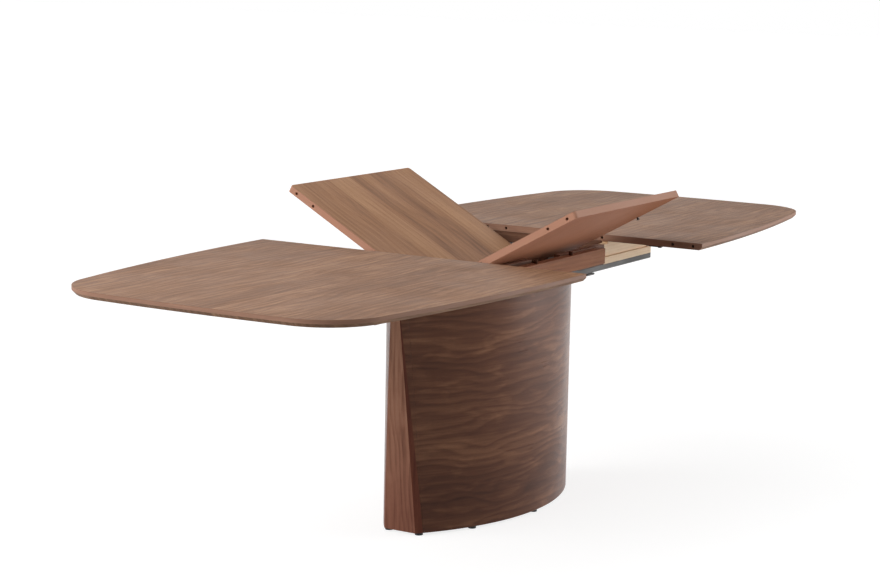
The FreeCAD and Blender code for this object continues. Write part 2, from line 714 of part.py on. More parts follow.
bulkhead_x = ("bulkhead_face", "bulkhead_face + bulkhead_thick")
inner_z = ("pedestal_rise + base_thick", SHELL_TOP)
keepEnds(common("bulkhead_right", lens("bulkhead_lens", INNER_RADIUS, inner_z),
                box("bulkhead_span", bulkhead_x, ("-shell_half", "shell_half"), inner_z)), "bulkhead")


def glideY(x):
    """How far from the centreline a glide stands, following the curved side."""
    radius = f"({SHELL_RADIUS} - glide_inset)"
    return f"sqrt({radius} ^ 2 - ({x}) ^ 2) - {SHELL_CENTRE}"


glides = [cylinder("glide_centre", "0", glideY("0"), ("0", "pedestal_rise"), "glide_radius")]
for order in ("middle", "end"):
    for side, sign in (("right", ""), ("left", "-")):
        at = f"{sign}glide_{order}"
        glides.append(cylinder(f"glide_{order}_{side}", at, glideY(at), ("0", "pedestal_rise"), "glide_radius"))
keep(acrossPair("glides", group("glides_far", *glides)))


# ---- lift inside the pedestal

BEAM_TOP = f"({HINGE} - beam_drop)"
BEAM_FOOT = f"({BEAM_TOP} - beam_size)"
WEB_END = "(bulkhead_face - guide_flange_thick - guide_web)"


def makeGuide():
    """T section rail that stands on a bulkhead."""
    body = newBody("guide_rail_right")
    sketch = newSketch(body, "XY_Plane")
    web, flange = "guide_web_thick / 2", "guide_flange / 2"
    inner = "bulkhead_face - guide_flange_thick"
    polygon(sketch, [(WEB_END, f"-{web}"), (inner, f"-{web}"), (inner, f"-{flange}"),
                     ("bulkhead_face", f"-{flange}"), ("bulkhead_face", flange), (inner, flange),
                     (inner, web), (WEB_END, web)])
    pad(body, sketch, f"{SHELL_TOP} - guide_head - guide_foot")
    return place(body, "0", "0", "guide_foot")


keepEnds(makeGuide(), "guide_rail")

half_beam = "beam_size / 2"
beam = cut("carriage_beam",
           box("beam_outside", ("-beam_end", "beam_end"), (f"-{half_beam}", half_beam), (BEAM_FOOT, BEAM_TOP)),
           box("beam_inside", ("-beam_end", "beam_end"),
               (f"-{half_beam} + beam_wall", f"{half_beam} - beam_wall"),
               (f"{BEAM_FOOT} + beam_wall", f"{BEAM_TOP} - beam_wall")))
keep(beam)

carriage_shoe = cut("carriage_shoe_right",
                    box("carriage_block",
                        ("beam_end", "bulkhead_face - guide_flange_thick - shoe_clear"),
                        (f"-{half_beam}", half_beam), (BEAM_FOOT, BEAM_TOP)),
                    box("carriage_slot", (f"{WEB_END} - shoe_clear", "bulkhead_face"),
                        ("-guide_web_thick / 2 - shoe_clear", "guide_web_thick / 2 + shoe_clear"),
                        (BEAM_FOOT, BEAM_TOP)))
keepEnds(carriage_shoe, "carriage_shoe")

spring_foot = "(pedestal_rise + base_thick)"
spring_top = f"({spring_foot} + spring_length)"
spring = cut("spring_cylinder",
             cylinder("spring_outside", "spring_place", "0", (spring_foot, spring_top), "spring_radius"),
             cylinder("spring_inside", "spring_place", "0",
                      (f"{spring_foot} + spring_head", f"{spring_top} - spring_head"),
                      "spring_radius - spring_wall"),
             cylinder("spring_mouth", "spring_place", "0", (f"{spring_top} - spring_head", spring_top),
                      "rod_radius + rod_clear"))
keep(group("gas_cylinders", spring, mirrored("spring_left", spring, ALONG)))

piston = fuse("spring_rod",
              cylinder("rod_shaft", "spring_place", "0", (f"{BEAM_FOOT} - rod_length", BEAM_FOOT), "rod_radius"),
              cylinder("rod_piston", "spring_place", "0",
                       (f"{BEAM_FOOT} - rod_length", f"{BEAM_FOOT} - rod_length + spring_head"),
                       "spring_radius - spring_wall - rod_clear"))
keep(group("gas_rods", piston, mirrored("rod_left", piston, ALONG)))


def makeHingeBracket():
    """U of steel on the tube, with an eye for each wing."""
    x = ("hinge_place - ear_wide / 2", "hinge_place + ear_wide / 2")
    pieces = [box("bracket_foot", x, ("-hinge_offset - ear_radius", "hinge_offset + ear_radius"),
                  (BEAM_TOP, f"{BEAM_TOP} + 4 * bracket_thick"))]
    bores = []
    for side, y in (("far", "hinge_offset"), ("near", "-hinge_offset")):
        pieces.append(box(f"bracket_leg_{side}", x, (f"{y} - ear_radius", f"{y} + ear_radius"),
                          (BEAM_TOP, HINGE)))
        pieces.append(rod(f"bracket_eye_{side}", x, y, HINGE, "ear_radius"))
        bores.append(rod(f"bracket_bore_{side}", x, y, HINGE, "pin_radius + pin_clear"))
    return cut("hinge_bracket_right", fuse("bracket_solid", *pieces), *bores)


keepEnds(makeHingeBracket(), "hinge_bracket")

FORK = "(ear_wide / 2 + shoe_clear)"
FORK_END = f"({FORK} + fork_wide)"
pin = rod("hinge_pin", (f"hinge_place - {FORK_END}", f"hinge_place + {FORK_END}"),
          "hinge_offset", HINGE, "pin_radius")
pins = group("hinge_pins_far", pin, mirrored("hinge_pin_left", pin, ALONG))
keep(acrossPair("hinge_pins", pins))


# ---- leaf wings, modelled flat about their hinge axis and then tilted

WING_IN = "(leaf_split - hinge_offset)"
WING_OUT = "(top_width / 2 - hinge_offset)"
WING_UNDER = "(hinge_depth - top_thick)"
NOTCH_OUT = "(2 * ear_radius)"


def onWing(thing):
    return place(thing, "0", "hinge_offset", HINGE, tilt="fold_angle")


def makeWing():
    """Wing with hinge notches, and dowel holes in its left end."""
    body = bar("wing_far", [(WING_IN, WING_UNDER), (WING_OUT, WING_UNDER), (WING_OUT, "hinge_depth"),
                            (WING_IN, "hinge_depth")], "leaf_length", "Symmetric")
    board = body.Tip
    corners = dress(body, "Fillet", board, lambda edge: upright(edge) and edge.Vertexes[0].Y > 0,
                    Radius="wing_corner")
    arris = dress(body, "Fillet", corners,
                  lambda edge: edge.BoundBox.YMax < 0 and edge.BoundBox.ZMin > 0.001 and not upright(edge)
                  and edge.BoundBox.XLength > 1, Radius="arris")
    notches = newSketch(body, "XZ_Plane")
    for sign in ("", "-"):
        ends = [f"{sign}hinge_place {side} ({FORK_END} + 2 * run_clear)" for side in ("-", "+")]
        roof = "(hinge_depth - notch_roof)"
        polygon(notches, [(ends[0], WING_UNDER), (ends[1], WING_UNDER), (ends[1], roof), (ends[0], roof)])
    bind(pocket(body, notches, NOTCH_OUT, "Two sides"), Length2=f"run_clear - {WING_IN}")
    holes = newSketch(body, "YZ_Plane")
    holes.setExpression("AttachmentOffset.Base.z", full("-leaf_length / 2"))
    circles(holes, [(f"{row} - hinge_offset", "hinge_depth - top_thick / 2") for row in DOWEL_ROWS],
            "dowel_radius + hole_clear")
    pocket(body, holes, "dowel_seat", reverse=True)
    return onWing(body)


keepPair(makeWing(), "wing")


def tiltedGroup(name, solids):
    return onWing(group(name, *solids))


wing_dowels = [rod(f"wing_dowel_{number}", ("leaf_length / 2", "leaf_length / 2 + dowel_reach"),
                   f"{row} - hinge_offset", "hinge_depth - top_thick / 2", "dowel_radius")
               for number, row in enumerate(DOWEL_ROWS)]
keepPair(tiltedGroup("wing_dowels_far", wing_dowels), "wing_dowels")


def makeHinge(name, sign):
    """Forked hinge plate under a wing, its two eyes either side of the bracket's."""
    x = f"{sign}hinge_place"
    low = f"{WING_UNDER} - plate_thick"
    pieces = [box(name + "_plate", (f"{x} - plate_wide / 2", f"{x} + plate_wide / 2"),
                  (f"{NOTCH_OUT} - shoe_clear", f"{NOTCH_OUT} + plate_length"), (low, WING_UNDER))]
    bores = []
    for side, ends in (("low", (f"{x} - {FORK_END}", f"{x} - {FORK}")),
                       ("high", (f"{x} + {FORK}", f"{x} + {FORK_END}"))):
        pieces.append(box(f"{name}_arm_{side}", ends, ("0", f"{NOTCH_OUT} - shoe_clear"),
                          ("-ear_radius", "ear_radius")))
        pieces.append(box(f"{name}_drop_{side}", ends, ("ear_radius / 2", f"{NOTCH_OUT} - shoe_clear"),
                          (low, "-ear_radius")))
        pieces.append(rod(f"{name}_eye_{side}", ends, "0", "0", "ear_radius"))
        bores.append(rod(f"{name}_bore_{side}", ends, "0", "0", "pin_radius + pin_clear"))
    return cut(name, fuse(name + "_solid", *pieces), *bores)


hinges = [makeHinge("hinge_plate_right", ""), makeHinge("hinge_plate_left", "-")]
keepPair(tiltedGroup("hinges_far", hinges), "hinges")


# ---- latches

def headed(name, x, y, top, shank_low):
    """A headed stud that hangs from the face at top."""
    return fuse(name, cylinder(name + "_shank", x, y, (f"{shank_low} - head_high", top), "keeper_radius"),
                cylinder(name + "_head", x, y, (f"{shank_low} - head_high", shank_low), "keeper_head"))


LATCH_Y = "(top_width / 2 - latch_edge)"
LEVER_TOP = f"({UNDER} - lever_drop)"
LEVER_FOOT = f"({LEVER_TOP} - lever_thick)"
PIVOT_X = f"({EDGE} + latch_inset)"
KEEPER_INSET = "(latch_reach - latch_inset)"

base_plate = box("latch_plate", (f"{EDGE} + 3", f"{EDGE} + 2 * latch_inset - 3"),
                 (f"{LATCH_Y} - lever_wide", f"{LATCH_Y} + lever_wide"), (f"{LEVER_TOP} + shoe_clear", UNDER))
pivot = headed("latch_pivot", PIVOT_X, LATCH_Y, UNDER, f"{LEVER_FOOT} - shoe_clear")
keep(acrossPair("latch_bases", fuse("latch_base", base_plate, pivot)))

lever_z = (LEVER_FOOT, LEVER_TOP)
hook_y = f"({LATCH_Y} - latch_reach)"
lever = cut("latch_far",
            fuse("lever_solid",
                 cylinder("lever_boss", PIVOT_X, LATCH_Y, lever_z, "lever_wide / 2 + 1"),
                 box("lever_arm", (f"{PIVOT_X} - lever_wide / 2", f"{PIVOT_X} + lever_wide / 2"),
                     (f"{LATCH_Y} - latch_end", LATCH_Y), lever_z)),
            cylinder("lever_bore", PIVOT_X, LATCH_Y, lever_z, "keeper_radius + hole_clear"),
            cylinder("lever_hook", PIVOT_X, hook_y, lever_z, "keeper_radius + shoe_clear"),
            box("lever_throat", (f"{PIVOT_X} - lever_wide", PIVOT_X),
                (f"{hook_y} - keeper_radius - shoe_clear", f"{hook_y} + keeper_radius + shoe_clear"), lever_z))
keepPair(lever, "latch")

keeper = headed("keeper", f"-{EDGE} - {KEEPER_INSET}", LATCH_Y, UNDER, f"{LEVER_FOOT} - shoe_clear")
keep(acrossPair("keepers_left", keeper))

wing_keeper = headed("wing_keeper", f"leaf_length / 2 - {KEEPER_INSET}", f"{LATCH_Y} - hinge_offset",
                     WING_UNDER, f"{WING_UNDER} - lever_drop - lever_thick - shoe_clear")
keepPair(tiltedGroup("wing_keeper_far", [wing_keeper]), "wing_keeper")


# ---- check and write

doc.recompute()
for thing in doc.Objects:
    if {"Invalid", "Error"} & set(thing.State):
        raise RuntimeError(f"{thing.Label} failed: {thing.State}")
    if thing.TypeId == "PartDesign::Pocket" and thing.Shape.Volume > thing.BaseFeature.Shape.Volume - 1:
        raise RuntimeError(f"{thing.Label} cuts nothing")
for node in nodes:
    if node.Shape.isNull() or not node.Shape.isValid():
        raise RuntimeError(f"{node.Label} has no valid shape")

os.makedirs("parts", exist_ok=True)
for node in nodes:
    node.Shape.exportStep(f"parts/{node.Label}.step")
    print(f"{node.Label}: {len(node.Shape.Solids)} solids, {node.Shape.Volume / 1000:.1f} cm3")
print(len(nodes), "nodes")
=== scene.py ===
import math
import bmesh
import bpy
from mathutils import Matrix, Vector


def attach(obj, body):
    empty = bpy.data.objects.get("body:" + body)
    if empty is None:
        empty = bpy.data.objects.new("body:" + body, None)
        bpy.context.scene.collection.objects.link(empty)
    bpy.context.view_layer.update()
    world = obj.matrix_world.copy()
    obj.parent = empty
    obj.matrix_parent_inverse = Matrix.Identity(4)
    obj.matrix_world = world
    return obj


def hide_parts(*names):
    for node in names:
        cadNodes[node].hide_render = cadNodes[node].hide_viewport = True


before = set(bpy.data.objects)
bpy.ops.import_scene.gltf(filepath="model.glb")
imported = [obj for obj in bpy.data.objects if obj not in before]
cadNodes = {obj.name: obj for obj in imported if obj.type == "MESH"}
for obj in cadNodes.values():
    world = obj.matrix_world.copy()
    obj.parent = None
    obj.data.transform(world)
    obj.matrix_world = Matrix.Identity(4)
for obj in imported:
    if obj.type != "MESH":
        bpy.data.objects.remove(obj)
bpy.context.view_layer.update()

# Butterfly leaf table: walnut top halves and pedestal, beech runners, steel slides and lift.
print("frame loaded:", len(cadNodes), "nodes")

floatSocket = "NodeSocketFloat"
colourSocket = "NodeSocketColor"
vectorSocket = "NodeSocketVector"


# Small helpers for node trees.
def feed(tree, made, values):
    for key, value in values.items():
        socket = made.inputs[key]
        if isinstance(value, bpy.types.NodeSocket):
            tree.links.new(value, socket)
        else:
            socket.default_value = value


def add(tree, kind, values=None, **settings):
    made = tree.nodes.new(kind)
    made.location = (180 * (len(tree.nodes) % 12), -220 * (len(tree.nodes) // 12))
    for name, value in settings.items():
        setattr(made, name, value)
    feed(tree, made, values or {})
    return made


def calc(tree, operation, first, second=0.0, third=0.0):
    return add(tree, "ShaderNodeMath", {0: first, 1: second, 2: third}, operation=operation).outputs[0]


def times(tree, first, second):
    return calc(tree, "MULTIPLY", first, second)


def plus(tree, first, second):
    return calc(tree, "ADD", first, second)


def timesPlus(tree, first, second, third):
    return calc(tree, "MULTIPLY_ADD", first, second, third)


def centred(tree, value, middle=0.5):
    return calc(tree, "SUBTRACT", value, middle)


def ramp(tree, value, low, high, start=0.0, end=1.0):
    ranged = add(tree, "ShaderNodeMapRange", {"Value": value, "From Min": low, "From Max": high,
                                              "To Min": start, "To Max": end})
    return ranged.outputs[0]


def noise(tree, vector, detail=2.0, roughness=0.5, distortion=0.0):
    made = add(tree, "ShaderNodeTexNoise", {"Vector": vector, "Scale": 1.0, "Detail": detail,
                                            "Roughness": roughness, "Distortion": distortion})
    return made.outputs["Fac"]


def stretched(tree, vector, scale):
    return add(tree, "ShaderNodeVectorMath", {0: vector, 1: scale}, operation="MULTIPLY").outputs[0]


def tint(tree, factor, first, second, kind="MIX"):
    mixed = add(tree, "ShaderNodeMix", {0: factor, 6: first, 7: second}, data_type="RGBA", blend_type=kind)
    return mixed.outputs[2]


def newGroup(name, inputs, outputs, kind="ShaderNodeTree"):
    tree = bpy.data.node_groups.new(name, kind)
    for label, socketType, value in inputs:
        socket = tree.interface.new_socket(name=label, in_out="INPUT", socket_type=socketType)
        if value is not None:
            socket.default_value = value
    for label, socketType in outputs:
        tree.interface.new_socket(name=label, in_out="OUTPUT", socket_type=socketType)
    return tree, add(tree, "NodeGroupInput").outputs, add(tree, "NodeGroupOutput")


# Surface effects that several finishes share.
grainNoise = {
    # Waves per metre along and across the grain, then detail, roughness and distortion.
    "cloud": ((1.3, 7.5), 2.0),
    "crotch": ((3.6, 11.0), 1.6, 0.45, 0.3),
    "streak": ((4.5, 130.0), 3.0, 0.6),
    "flame": ((7.0, 24.0), 2.5, 0.55, 0.6),
    "fibre": ((20.0, 1000.0), 1.0),
    "pore": ((60.0, 1900.0), 1.0),
}
grainMix = {"poreFade": (0.58, 0.7), "fleckFade": (0.52, 0.74), "swing": 13.0, "sway": 3.0,
            "ringRise": (0.2, 0.8), "ringFall": (0.8, 1.0), "lineMiddle": 0.35, "cloud": 1.5, "fibre": 0.35,
            "darkFade": (-0.5, 0.0), "lightFade": (0.0, 0.5), "streakRough": 0.12, "poreRough": 0.2,
            "fibreHeight": 0.35, "stripAlong": 7.3, "stripAcross": 1.9}


def makeWoodGrain():
    # Veneer or timber from a flat coordinate in metres: X along the grain, Y across it.
    tree, given, result = newGroup(
        "woodGrain",
        [("Grain", vectorSocket, None),
         ("Dark", colourSocket, (0.1, 0.05, 0.03, 1)),
         ("Middle", colourSocket, (0.25, 0.14, 0.09, 1)),
         ("Light", colourSocket, (0.4, 0.25, 0.17, 1)),
         ("Strip Width", floatSocket, 0.2),
         ("Strip Change", floatSocket, 0.2),
         ("Ring Spacing", floatSocket, 0.02),
         ("Ring Strength", floatSocket, 0.2),
         ("Figure", floatSocket, 0.3),
         ("Contrast", floatSocket, 1.0),
         ("Cloud", floatSocket, 1.0),
         ("Blotch", floatSocket, 0.0),
         ("Streak", floatSocket, 1.1),
         ("Pores", floatSocket, 0.5),
         ("Seed", floatSocket, 0.0)],
        [("Colour", colourSocket), ("Roughness", floatSocket), ("Height", floatSocket)])
    parts = add(tree, "ShaderNodeSeparateXYZ", {0: given["Grain"]}).outputs
    strip = calc(tree, "FLOOR", calc(tree, "DIVIDE", parts["Y"], given["Strip Width"]))
    chance = add(tree, "ShaderNodeTexWhiteNoise",
                 {"W": calc(tree, "ADD", strip, given["Seed"])}, noise_dimensions="1D").outputs["Value"]
    along = timesPlus(tree, chance, grainMix["stripAlong"], parts["X"])
    across = timesPlus(tree, chance, grainMix["stripAcross"], parts["Y"])
    sheet = add(tree, "ShaderNodeCombineXYZ", {0: along, 1: across, 2: given["Seed"]}).outputs[0]

    waves = {}
    for label, (stretch, *settings) in grainNoise.items():
        waves[label] = noise(tree, stretched(tree, sheet, (*stretch, 1)), *settings)
    cloud, streak, fibre = (centred(tree, waves[label]) for label in ("cloud", "streak", "fibre"))
    pore = ramp(tree, waves["pore"], *grainMix["poreFade"])
    fleck = ramp(tree, waves["flame"], *grainMix["fleckFade"])

    # Growth rings: a saw-tooth across the board, swung about by the figure.
    swing = times(tree, centred(tree, waves["crotch"]), times(tree, given["Figure"], grainMix["swing"]))
    sway = timesPlus(tree, cloud, grainMix["sway"], swing)
    ring = calc(tree, "FRACT", plus(tree, calc(tree, "DIVIDE", across, given["Ring Spacing"]), sway))
    rise = ramp(tree, ring, *grainMix["ringRise"])
    line = times(tree, rise, ramp(tree, ring, *grainMix["ringFall"], 1.0, 0.0))
    rings = times(tree, centred(tree, line, grainMix["lineMiddle"]), given["Ring Strength"])

    tone = times(tree, cloud, times(tree, given["Cloud"], grainMix["cloud"]))
    # Light flecks from the flame noise: partly the veneer's figure, partly a painted sheen.
    tone = timesPlus(tree, fleck, given["Blotch"], tone)
    tone = timesPlus(tree, streak, given["Streak"], tone)
    tone = timesPlus(tree, fibre, grainMix["fibre"], tone)
    tone = times(tree, tone, given["Contrast"])
    tone = calc(tree, "SUBTRACT", tone, rings)
    tone = plus(tree, tone, times(tree, centred(tree, chance), given["Strip Change"]))
    wood = tint(tree, ramp(tree, tone, *grainMix["darkFade"]), given["Dark"], given["Middle"])
    wood = tint(tree, ramp(tree, tone, *grainMix["lightFade"]), wood, given["Light"])
    poreShade = times(tree, pore, given["Pores"])
    wood = tint(tree, poreShade, wood, given["Dark"])
    rough = timesPlus(tree, poreShade, grainMix["poreRough"], times(tree, streak, grainMix["streakRough"]))
    height = timesPlus(tree, poreShade, -1.0, times(tree, waves["fibre"], grainMix["fibreHeight"]))
    feed(tree, result, {"Colour": wood, "Roughness": rough, "Height": height})
    return tree


rubShape = {"edgeFade": (0.98, 0.8), "patches": (90, 90, 90), "patchFade": (0.35, 0.65)}
dustShape = {"smears": (6, 6, 6), "smearFade": (0.35, 0.7)}


def makeRub():
    # Where corners catch the hand: brighter along edges, broken up by noise.
    tree, given, result = newGroup(
        "edgeRub",
        [("Place", vectorSocket, None), ("Radius", floatSocket, 0.001), ("Strength", floatSocket, 0.5)],
        [("Mask", floatSocket)])
    rounded = add(tree, "ShaderNodeBevel", {"Radius": given["Radius"]}, samples=4).outputs[0]
    flat = add(tree, "ShaderNodeNewGeometry").outputs["Normal"]
    close = add(tree, "ShaderNodeVectorMath", {0: rounded, 1: flat}, operation="DOT_PRODUCT").outputs["Value"]
    edge = ramp(tree, close, *rubShape["edgeFade"])
    patch = noise(tree, stretched(tree, given["Place"], rubShape["patches"]), 3.0)
    worn = times(tree, edge, ramp(tree, patch, *rubShape["patchFade"]))
    feed(tree, result, {"Mask": times(tree, worn, given["Strength"])})
    return tree


def makeDust():
    # Fine speckle and faint smears that lift the roughness of a clean surface.
    tree, given, result = newGroup(
        "fineDust",
        [("Place", vectorSocket, None), ("Speck", floatSocket, 900.0), ("Amount", floatSocket, 0.1)],
        [("Smear", floatSocket), ("Speckle", floatSocket)])
    smear = noise(tree, stretched(tree, given["Place"], dustShape["smears"]), 3.0, 0.6)
    smear = ramp(tree, smear, *dustShape["smearFade"])
    fine = add(tree, "ShaderNodeVectorMath", {0: given["Place"], "Scale": given["Speck"]}, operation="SCALE")
    speck = noise(tree, fine.outputs[0], 1.0)
    feed(tree, result, {"Smear": times(tree, smear, given["Amount"]), "Speckle": centred(tree, speck)})
    return tree


woodGrain = makeWoodGrain()
edgeRub = makeRub()
fineDust = makeDust()
print("shared groups made")


def newMaterial(name, **shader):
    material = bpy.data.materials.new(name)
    material.use_nodes = True
    tree = material.node_tree
    tree.nodes.clear()
    principled = add(tree, "ShaderNodeBsdfPrincipled")
    output = add(tree, "ShaderNodeOutputMaterial")
    tree.links.new(principled.outputs[0], output.inputs["Surface"])
    for label, value in shader.items():
        principled.inputs[label.replace("_", " ")].default_value = value
    return material, tree, principled


def placeGroup(tree, group, values):
    made = tree.nodes.new("ShaderNodeGroup")
    made.node_tree = group
    feed(tree, made, values)
    return made.outputs


def bump(tree, height, strength, distance):
    values = {"Height": height, "Strength": strength, "Distance": distance}
    return add(tree, "ShaderNodeBump", values).outputs[0]


def mark(tree, name):
    # A value that layGrain leaves on the mesh.
    return add(tree, "ShaderNodeAttribute", attribute_name=name).outputs["Fac"]


def rgb(red, green, blue):
    # A colour given as it looks on screen, from 0 to 255.
    linear = [c / 255 / 12.92 if c <= 10 else ((c / 255 + 0.055) / 1.055) ** 2.4 for c in (red, green, blue)]
    return (*linear, 1)


grainKeys = {"Dark": "dark", "Middle": "middle", "Light": "light", "Strip Width": "strip",
             "Strip Change": "stripChange", "Ring Spacing": "ring", "Ring Strength": "ringStrength",
             "Figure": "figure", "Contrast": "contrast", "Cloud": "cloud", "Blotch": "blotch",
             "Streak": "streak", "Pores": "pores", "Seed": "seed"}
grainBump = 0.0004
glueLine = {"starts": (0.0004, 0.0006), "ends": (0.0009, 0.0012)}
# Heights over which the painted shade at the foot fades in.
paintedFootShade = (0.6, 0.06)
dustOnWood = {"Speck": 700.0, "Amount": 0.1}


def placeGrain(tree, look):
    values = {label: look[key] for label, key in grainKeys.items()}
    values["Grain"] = add(tree, "ShaderNodeUVMap", uv_map="grain").outputs[0]
    return placeGroup(tree, woodGrain, values)


def woodMaterial(name, look):
    material, tree, principled = newMaterial(
        name, Specular_IOR_Level=look["gloss"], Coat_Weight=look["coat"], Coat_Roughness=look["coatRough"])
    wood = placeGrain(tree, look)
    edge, depth = mark(tree, "edge"), mark(tree, "depth")
    # The lipping on the edges is a shade of its own, lightened in part as a painted highlight on the top's
    # rims, with a glue line under the veneer.
    colour = tint(tree, times(tree, edge, look["lipShade"]), wood["Colour"], look["lip"])
    glue = times(tree, ramp(tree, depth, *glueLine["starts"]), ramp(tree, depth, *glueLine["ends"], 1.0, 0.0))
    colour = tint(tree, times(tree, times(tree, edge, glue), look["glue"]), colour, look["dark"])
    place = add(tree, "ShaderNodeTexCoord").outputs["Object"]
    if "foot" in look:
        # Painted shade: the colour darkens toward the foot of the pedestal, standing in for less light low
        # down.
        height = add(tree, "ShaderNodeSeparateXYZ", {0: place}).outputs["Z"]
        colour = tint(tree, ramp(tree, height, *paintedFootShade), colour, look["foot"], "MULTIPLY")
    dust = placeGroup(tree, fineDust, dict(dustOnWood, Place=place))
    rough = plus(tree, plus(tree, wood["Roughness"], dust["Smear"]), look["rough"])
    feed(tree, principled, {"Base Color": colour, "Roughness": rough,
                            "Normal": bump(tree, wood["Height"], look["bump"], grainBump)})
    return material


walnut = {"strip": 9.0, "stripChange": 0.0, "ring": 0.024, "ringStrength": 0.12, "figure": 0.16,
          "contrast": 0.9, "cloud": 0.45, "blotch": 0.1, "streak": 1.1, "pores": 0.35, "seed": 3.0,
          "gloss": 0.16, "coat": 0.0, "coatRough": 0.1, "rough": 0.5, "bump": 0.25,
          "lip": rgb(162, 124, 106), "lipShade": 0.6, "glue": 0.5}
woods = {
    "walnutTop": dict(walnut, dark=rgb(84, 55, 38), middle=rgb(130, 95, 71), light=rgb(176, 137, 108),
                      figure=0.26, ringStrength=0.17, blotch=0.22, streak=0.95),
    "walnutWing": dict(walnut, strip=0.105, stripChange=0.2, contrast=0.65, cloud=1.1, ring=0.035,
                       figure=0.3, blotch=0.12, seed=11.0, dark=rgb(100, 68, 50), middle=rgb(158, 116, 85),
                       light=rgb(190, 149, 113), lip=rgb(180, 132, 110), lipShade=0.85),
    # Plainer and lighter than walnutWing: the lift in colour is painted light on the underside.
    "walnutWingUnderLit": dict(walnut, contrast=0.5, ringStrength=0.08, seed=17.0, gloss=0.08, rough=0.6,
                            dark=rgb(138, 88, 64), middle=rgb(188, 127, 97), light=rgb(202, 145, 113)),
    # walnutShell's foot colour is painted shade, darker toward the floor.
    "walnutShell": dict(walnut, ring=0.026, ringStrength=0.2, figure=0.34, contrast=0.72, cloud=1.0,
                        blotch=0.42, streak=0.62, pores=0.3, seed=5.0, dark=rgb(66, 37, 27),
                        middle=rgb(115, 73, 52), light=rgb(164, 117, 86), lip=rgb(90, 52, 38),
                        gloss=0.08, rough=0.28, coat=0.14, foot=(0.72, 0.68, 0.68, 1)),
    # walnutEnd's foot colour is painted shade, darker toward the floor.
    "walnutEnd": dict(walnut, ring=0.018, ringStrength=0.22, figure=0.3, contrast=0.8, cloud=0.9, blotch=0.3,
                      seed=8.0, dark=rgb(118, 74, 56), middle=rgb(178, 130, 104), light=rgb(200, 152, 124),
                      lip=rgb(130, 82, 62), gloss=0.15, rough=0.42, foot=(0.52, 0.41, 0.41, 1)),
    # A darker copy of walnutEnd: painted shade on the end board's sides.
    "walnutEndShadedSide": dict(walnut, ring=0.018, ringStrength=0.15, seed=9.0, dark=rgb(76, 38, 28),
                          middle=rgb(114, 64, 48), light=rgb(132, 80, 60), lip=rgb(120, 70, 52)),
    "walnutRail": dict(walnut, ring=0.014, figure=0.12, contrast=0.7, cloud=0.7, seed=21.0, gloss=0.06,
                       dark=rgb(96, 60, 42), middle=rgb(148, 98, 70), light=rgb(174, 126, 94)),
    "walnutBatten": dict(walnut, seed=25.0, contrast=0.8, gloss=0.2, rough=0.55,
                         dark=rgb(64, 40, 29), middle=rgb(104, 70, 52), light=rgb(134, 98, 76)),
    "beech": dict(walnut, dark=rgb(200, 156, 116), middle=rgb(238, 206, 168), light=rgb(248, 226, 198),
                  ring=0.009, figure=0.08, contrast=0.7, pores=0.22, seed=31.0,
                  lip=rgb(232, 196, 158), lipShade=0.2, glue=0.0, gloss=0.3),
    "dowelBeech": dict(walnut, dark=rgb(120, 84, 58), middle=rgb(160, 120, 90), light=rgb(190, 150, 115),
                       ring=0.004, figure=0.05, contrast=0.6, seed=37.0, lipShade=0.0, glue=0.0),
}
finishes = {name: woodMaterial(name, look) for name, look in woods.items()}
print("wood finishes:", len(finishes))


birch = dict(walnut, dark=rgb(170, 138, 102), middle=rgb(206, 178, 142), light=rgb(226, 203, 172),
             ring=0.05, ringStrength=0.14, figure=0.5, contrast=0.7, cloud=1.0, blotch=0.0, pores=0.1,
             seed=41.0, gloss=0.25, rough=0.6, bump=0.3, ply=0.0014, plyJoint=(0.42, 0.58),
             plyColour=rgb(128, 92, 62), plyShade=0.7, lip=rgb(92, 58, 43), lipShade=0.0)


def plyMaterial(name, look):
    # Birch faces, and on the edges the dark and light plies, or a walnut lipping where it is asked for.
    material, tree, principled = newMaterial(name, Specular_IOR_Level=look["gloss"])
    wood = placeGrain(tree, look)
    edge, depth = mark(tree, "edge"), mark(tree, "depth")
    layer = calc(tree, "PINGPONG", depth, look["ply"])
    dark = times(tree, ramp(tree, layer, *(look["ply"] * share for share in look["plyJoint"])), edge)
    colour = tint(tree, times(tree, dark, look["plyShade"]), wood["Colour"], look["plyColour"])
    if look["lipShade"]:
        colour = tint(tree, times(tree, edge, look["lipShade"]), colour, look["lip"])
    feed(tree, principled, {"Base Color": colour, "Roughness": plus(tree, wood["Roughness"], look["rough"]),
                            "Normal": bump(tree, wood["Height"], look["bump"], grainBump)})
    return material


finishes["birchPly"] = plyMaterial("birchPly", birch)
finishes["lippedPly"] = plyMaterial("lippedPly", dict(birch, lipShade=0.9))


def plainMaterial(name, look):
    # Metal, plastic and felt: brushed or speckled, with rubbed corners.
    material, tree, principled = newMaterial(
        name, Metallic=look["metal"], Specular_IOR_Level=look["gloss"])
    place = add(tree, "ShaderNodeTexCoord").outputs["Object"]
    dust = placeGroup(tree, fineDust, {"Place": place, "Speck": look["speck"], "Amount": look["smear"]})
    rub = placeGroup(tree, edgeRub, {"Place": place, "Radius": look["corner"], "Strength": look["rub"]})
    brushed = noise(tree, stretched(tree, place, look["brush"]), 2.0, 0.6)
    change = centred(tree, brushed)
    colour = tint(tree, timesPlus(tree, change, look["change"], 0.5), look["dark"], look["light"])
    colour = tint(tree, rub["Mask"], colour, look["worn"])
    rough = plus(tree, timesPlus(tree, change, look["brushRough"], look["rough"]), dust["Smear"])
    height = timesPlus(tree, brushed, look["brushHeight"], times(tree, dust["Speckle"], look["grit"]))
    feed(tree, principled, {"Base Color": colour, "Roughness": rough,
                            "Normal": bump(tree, height, look["bump"], look["relief"])})
    return material


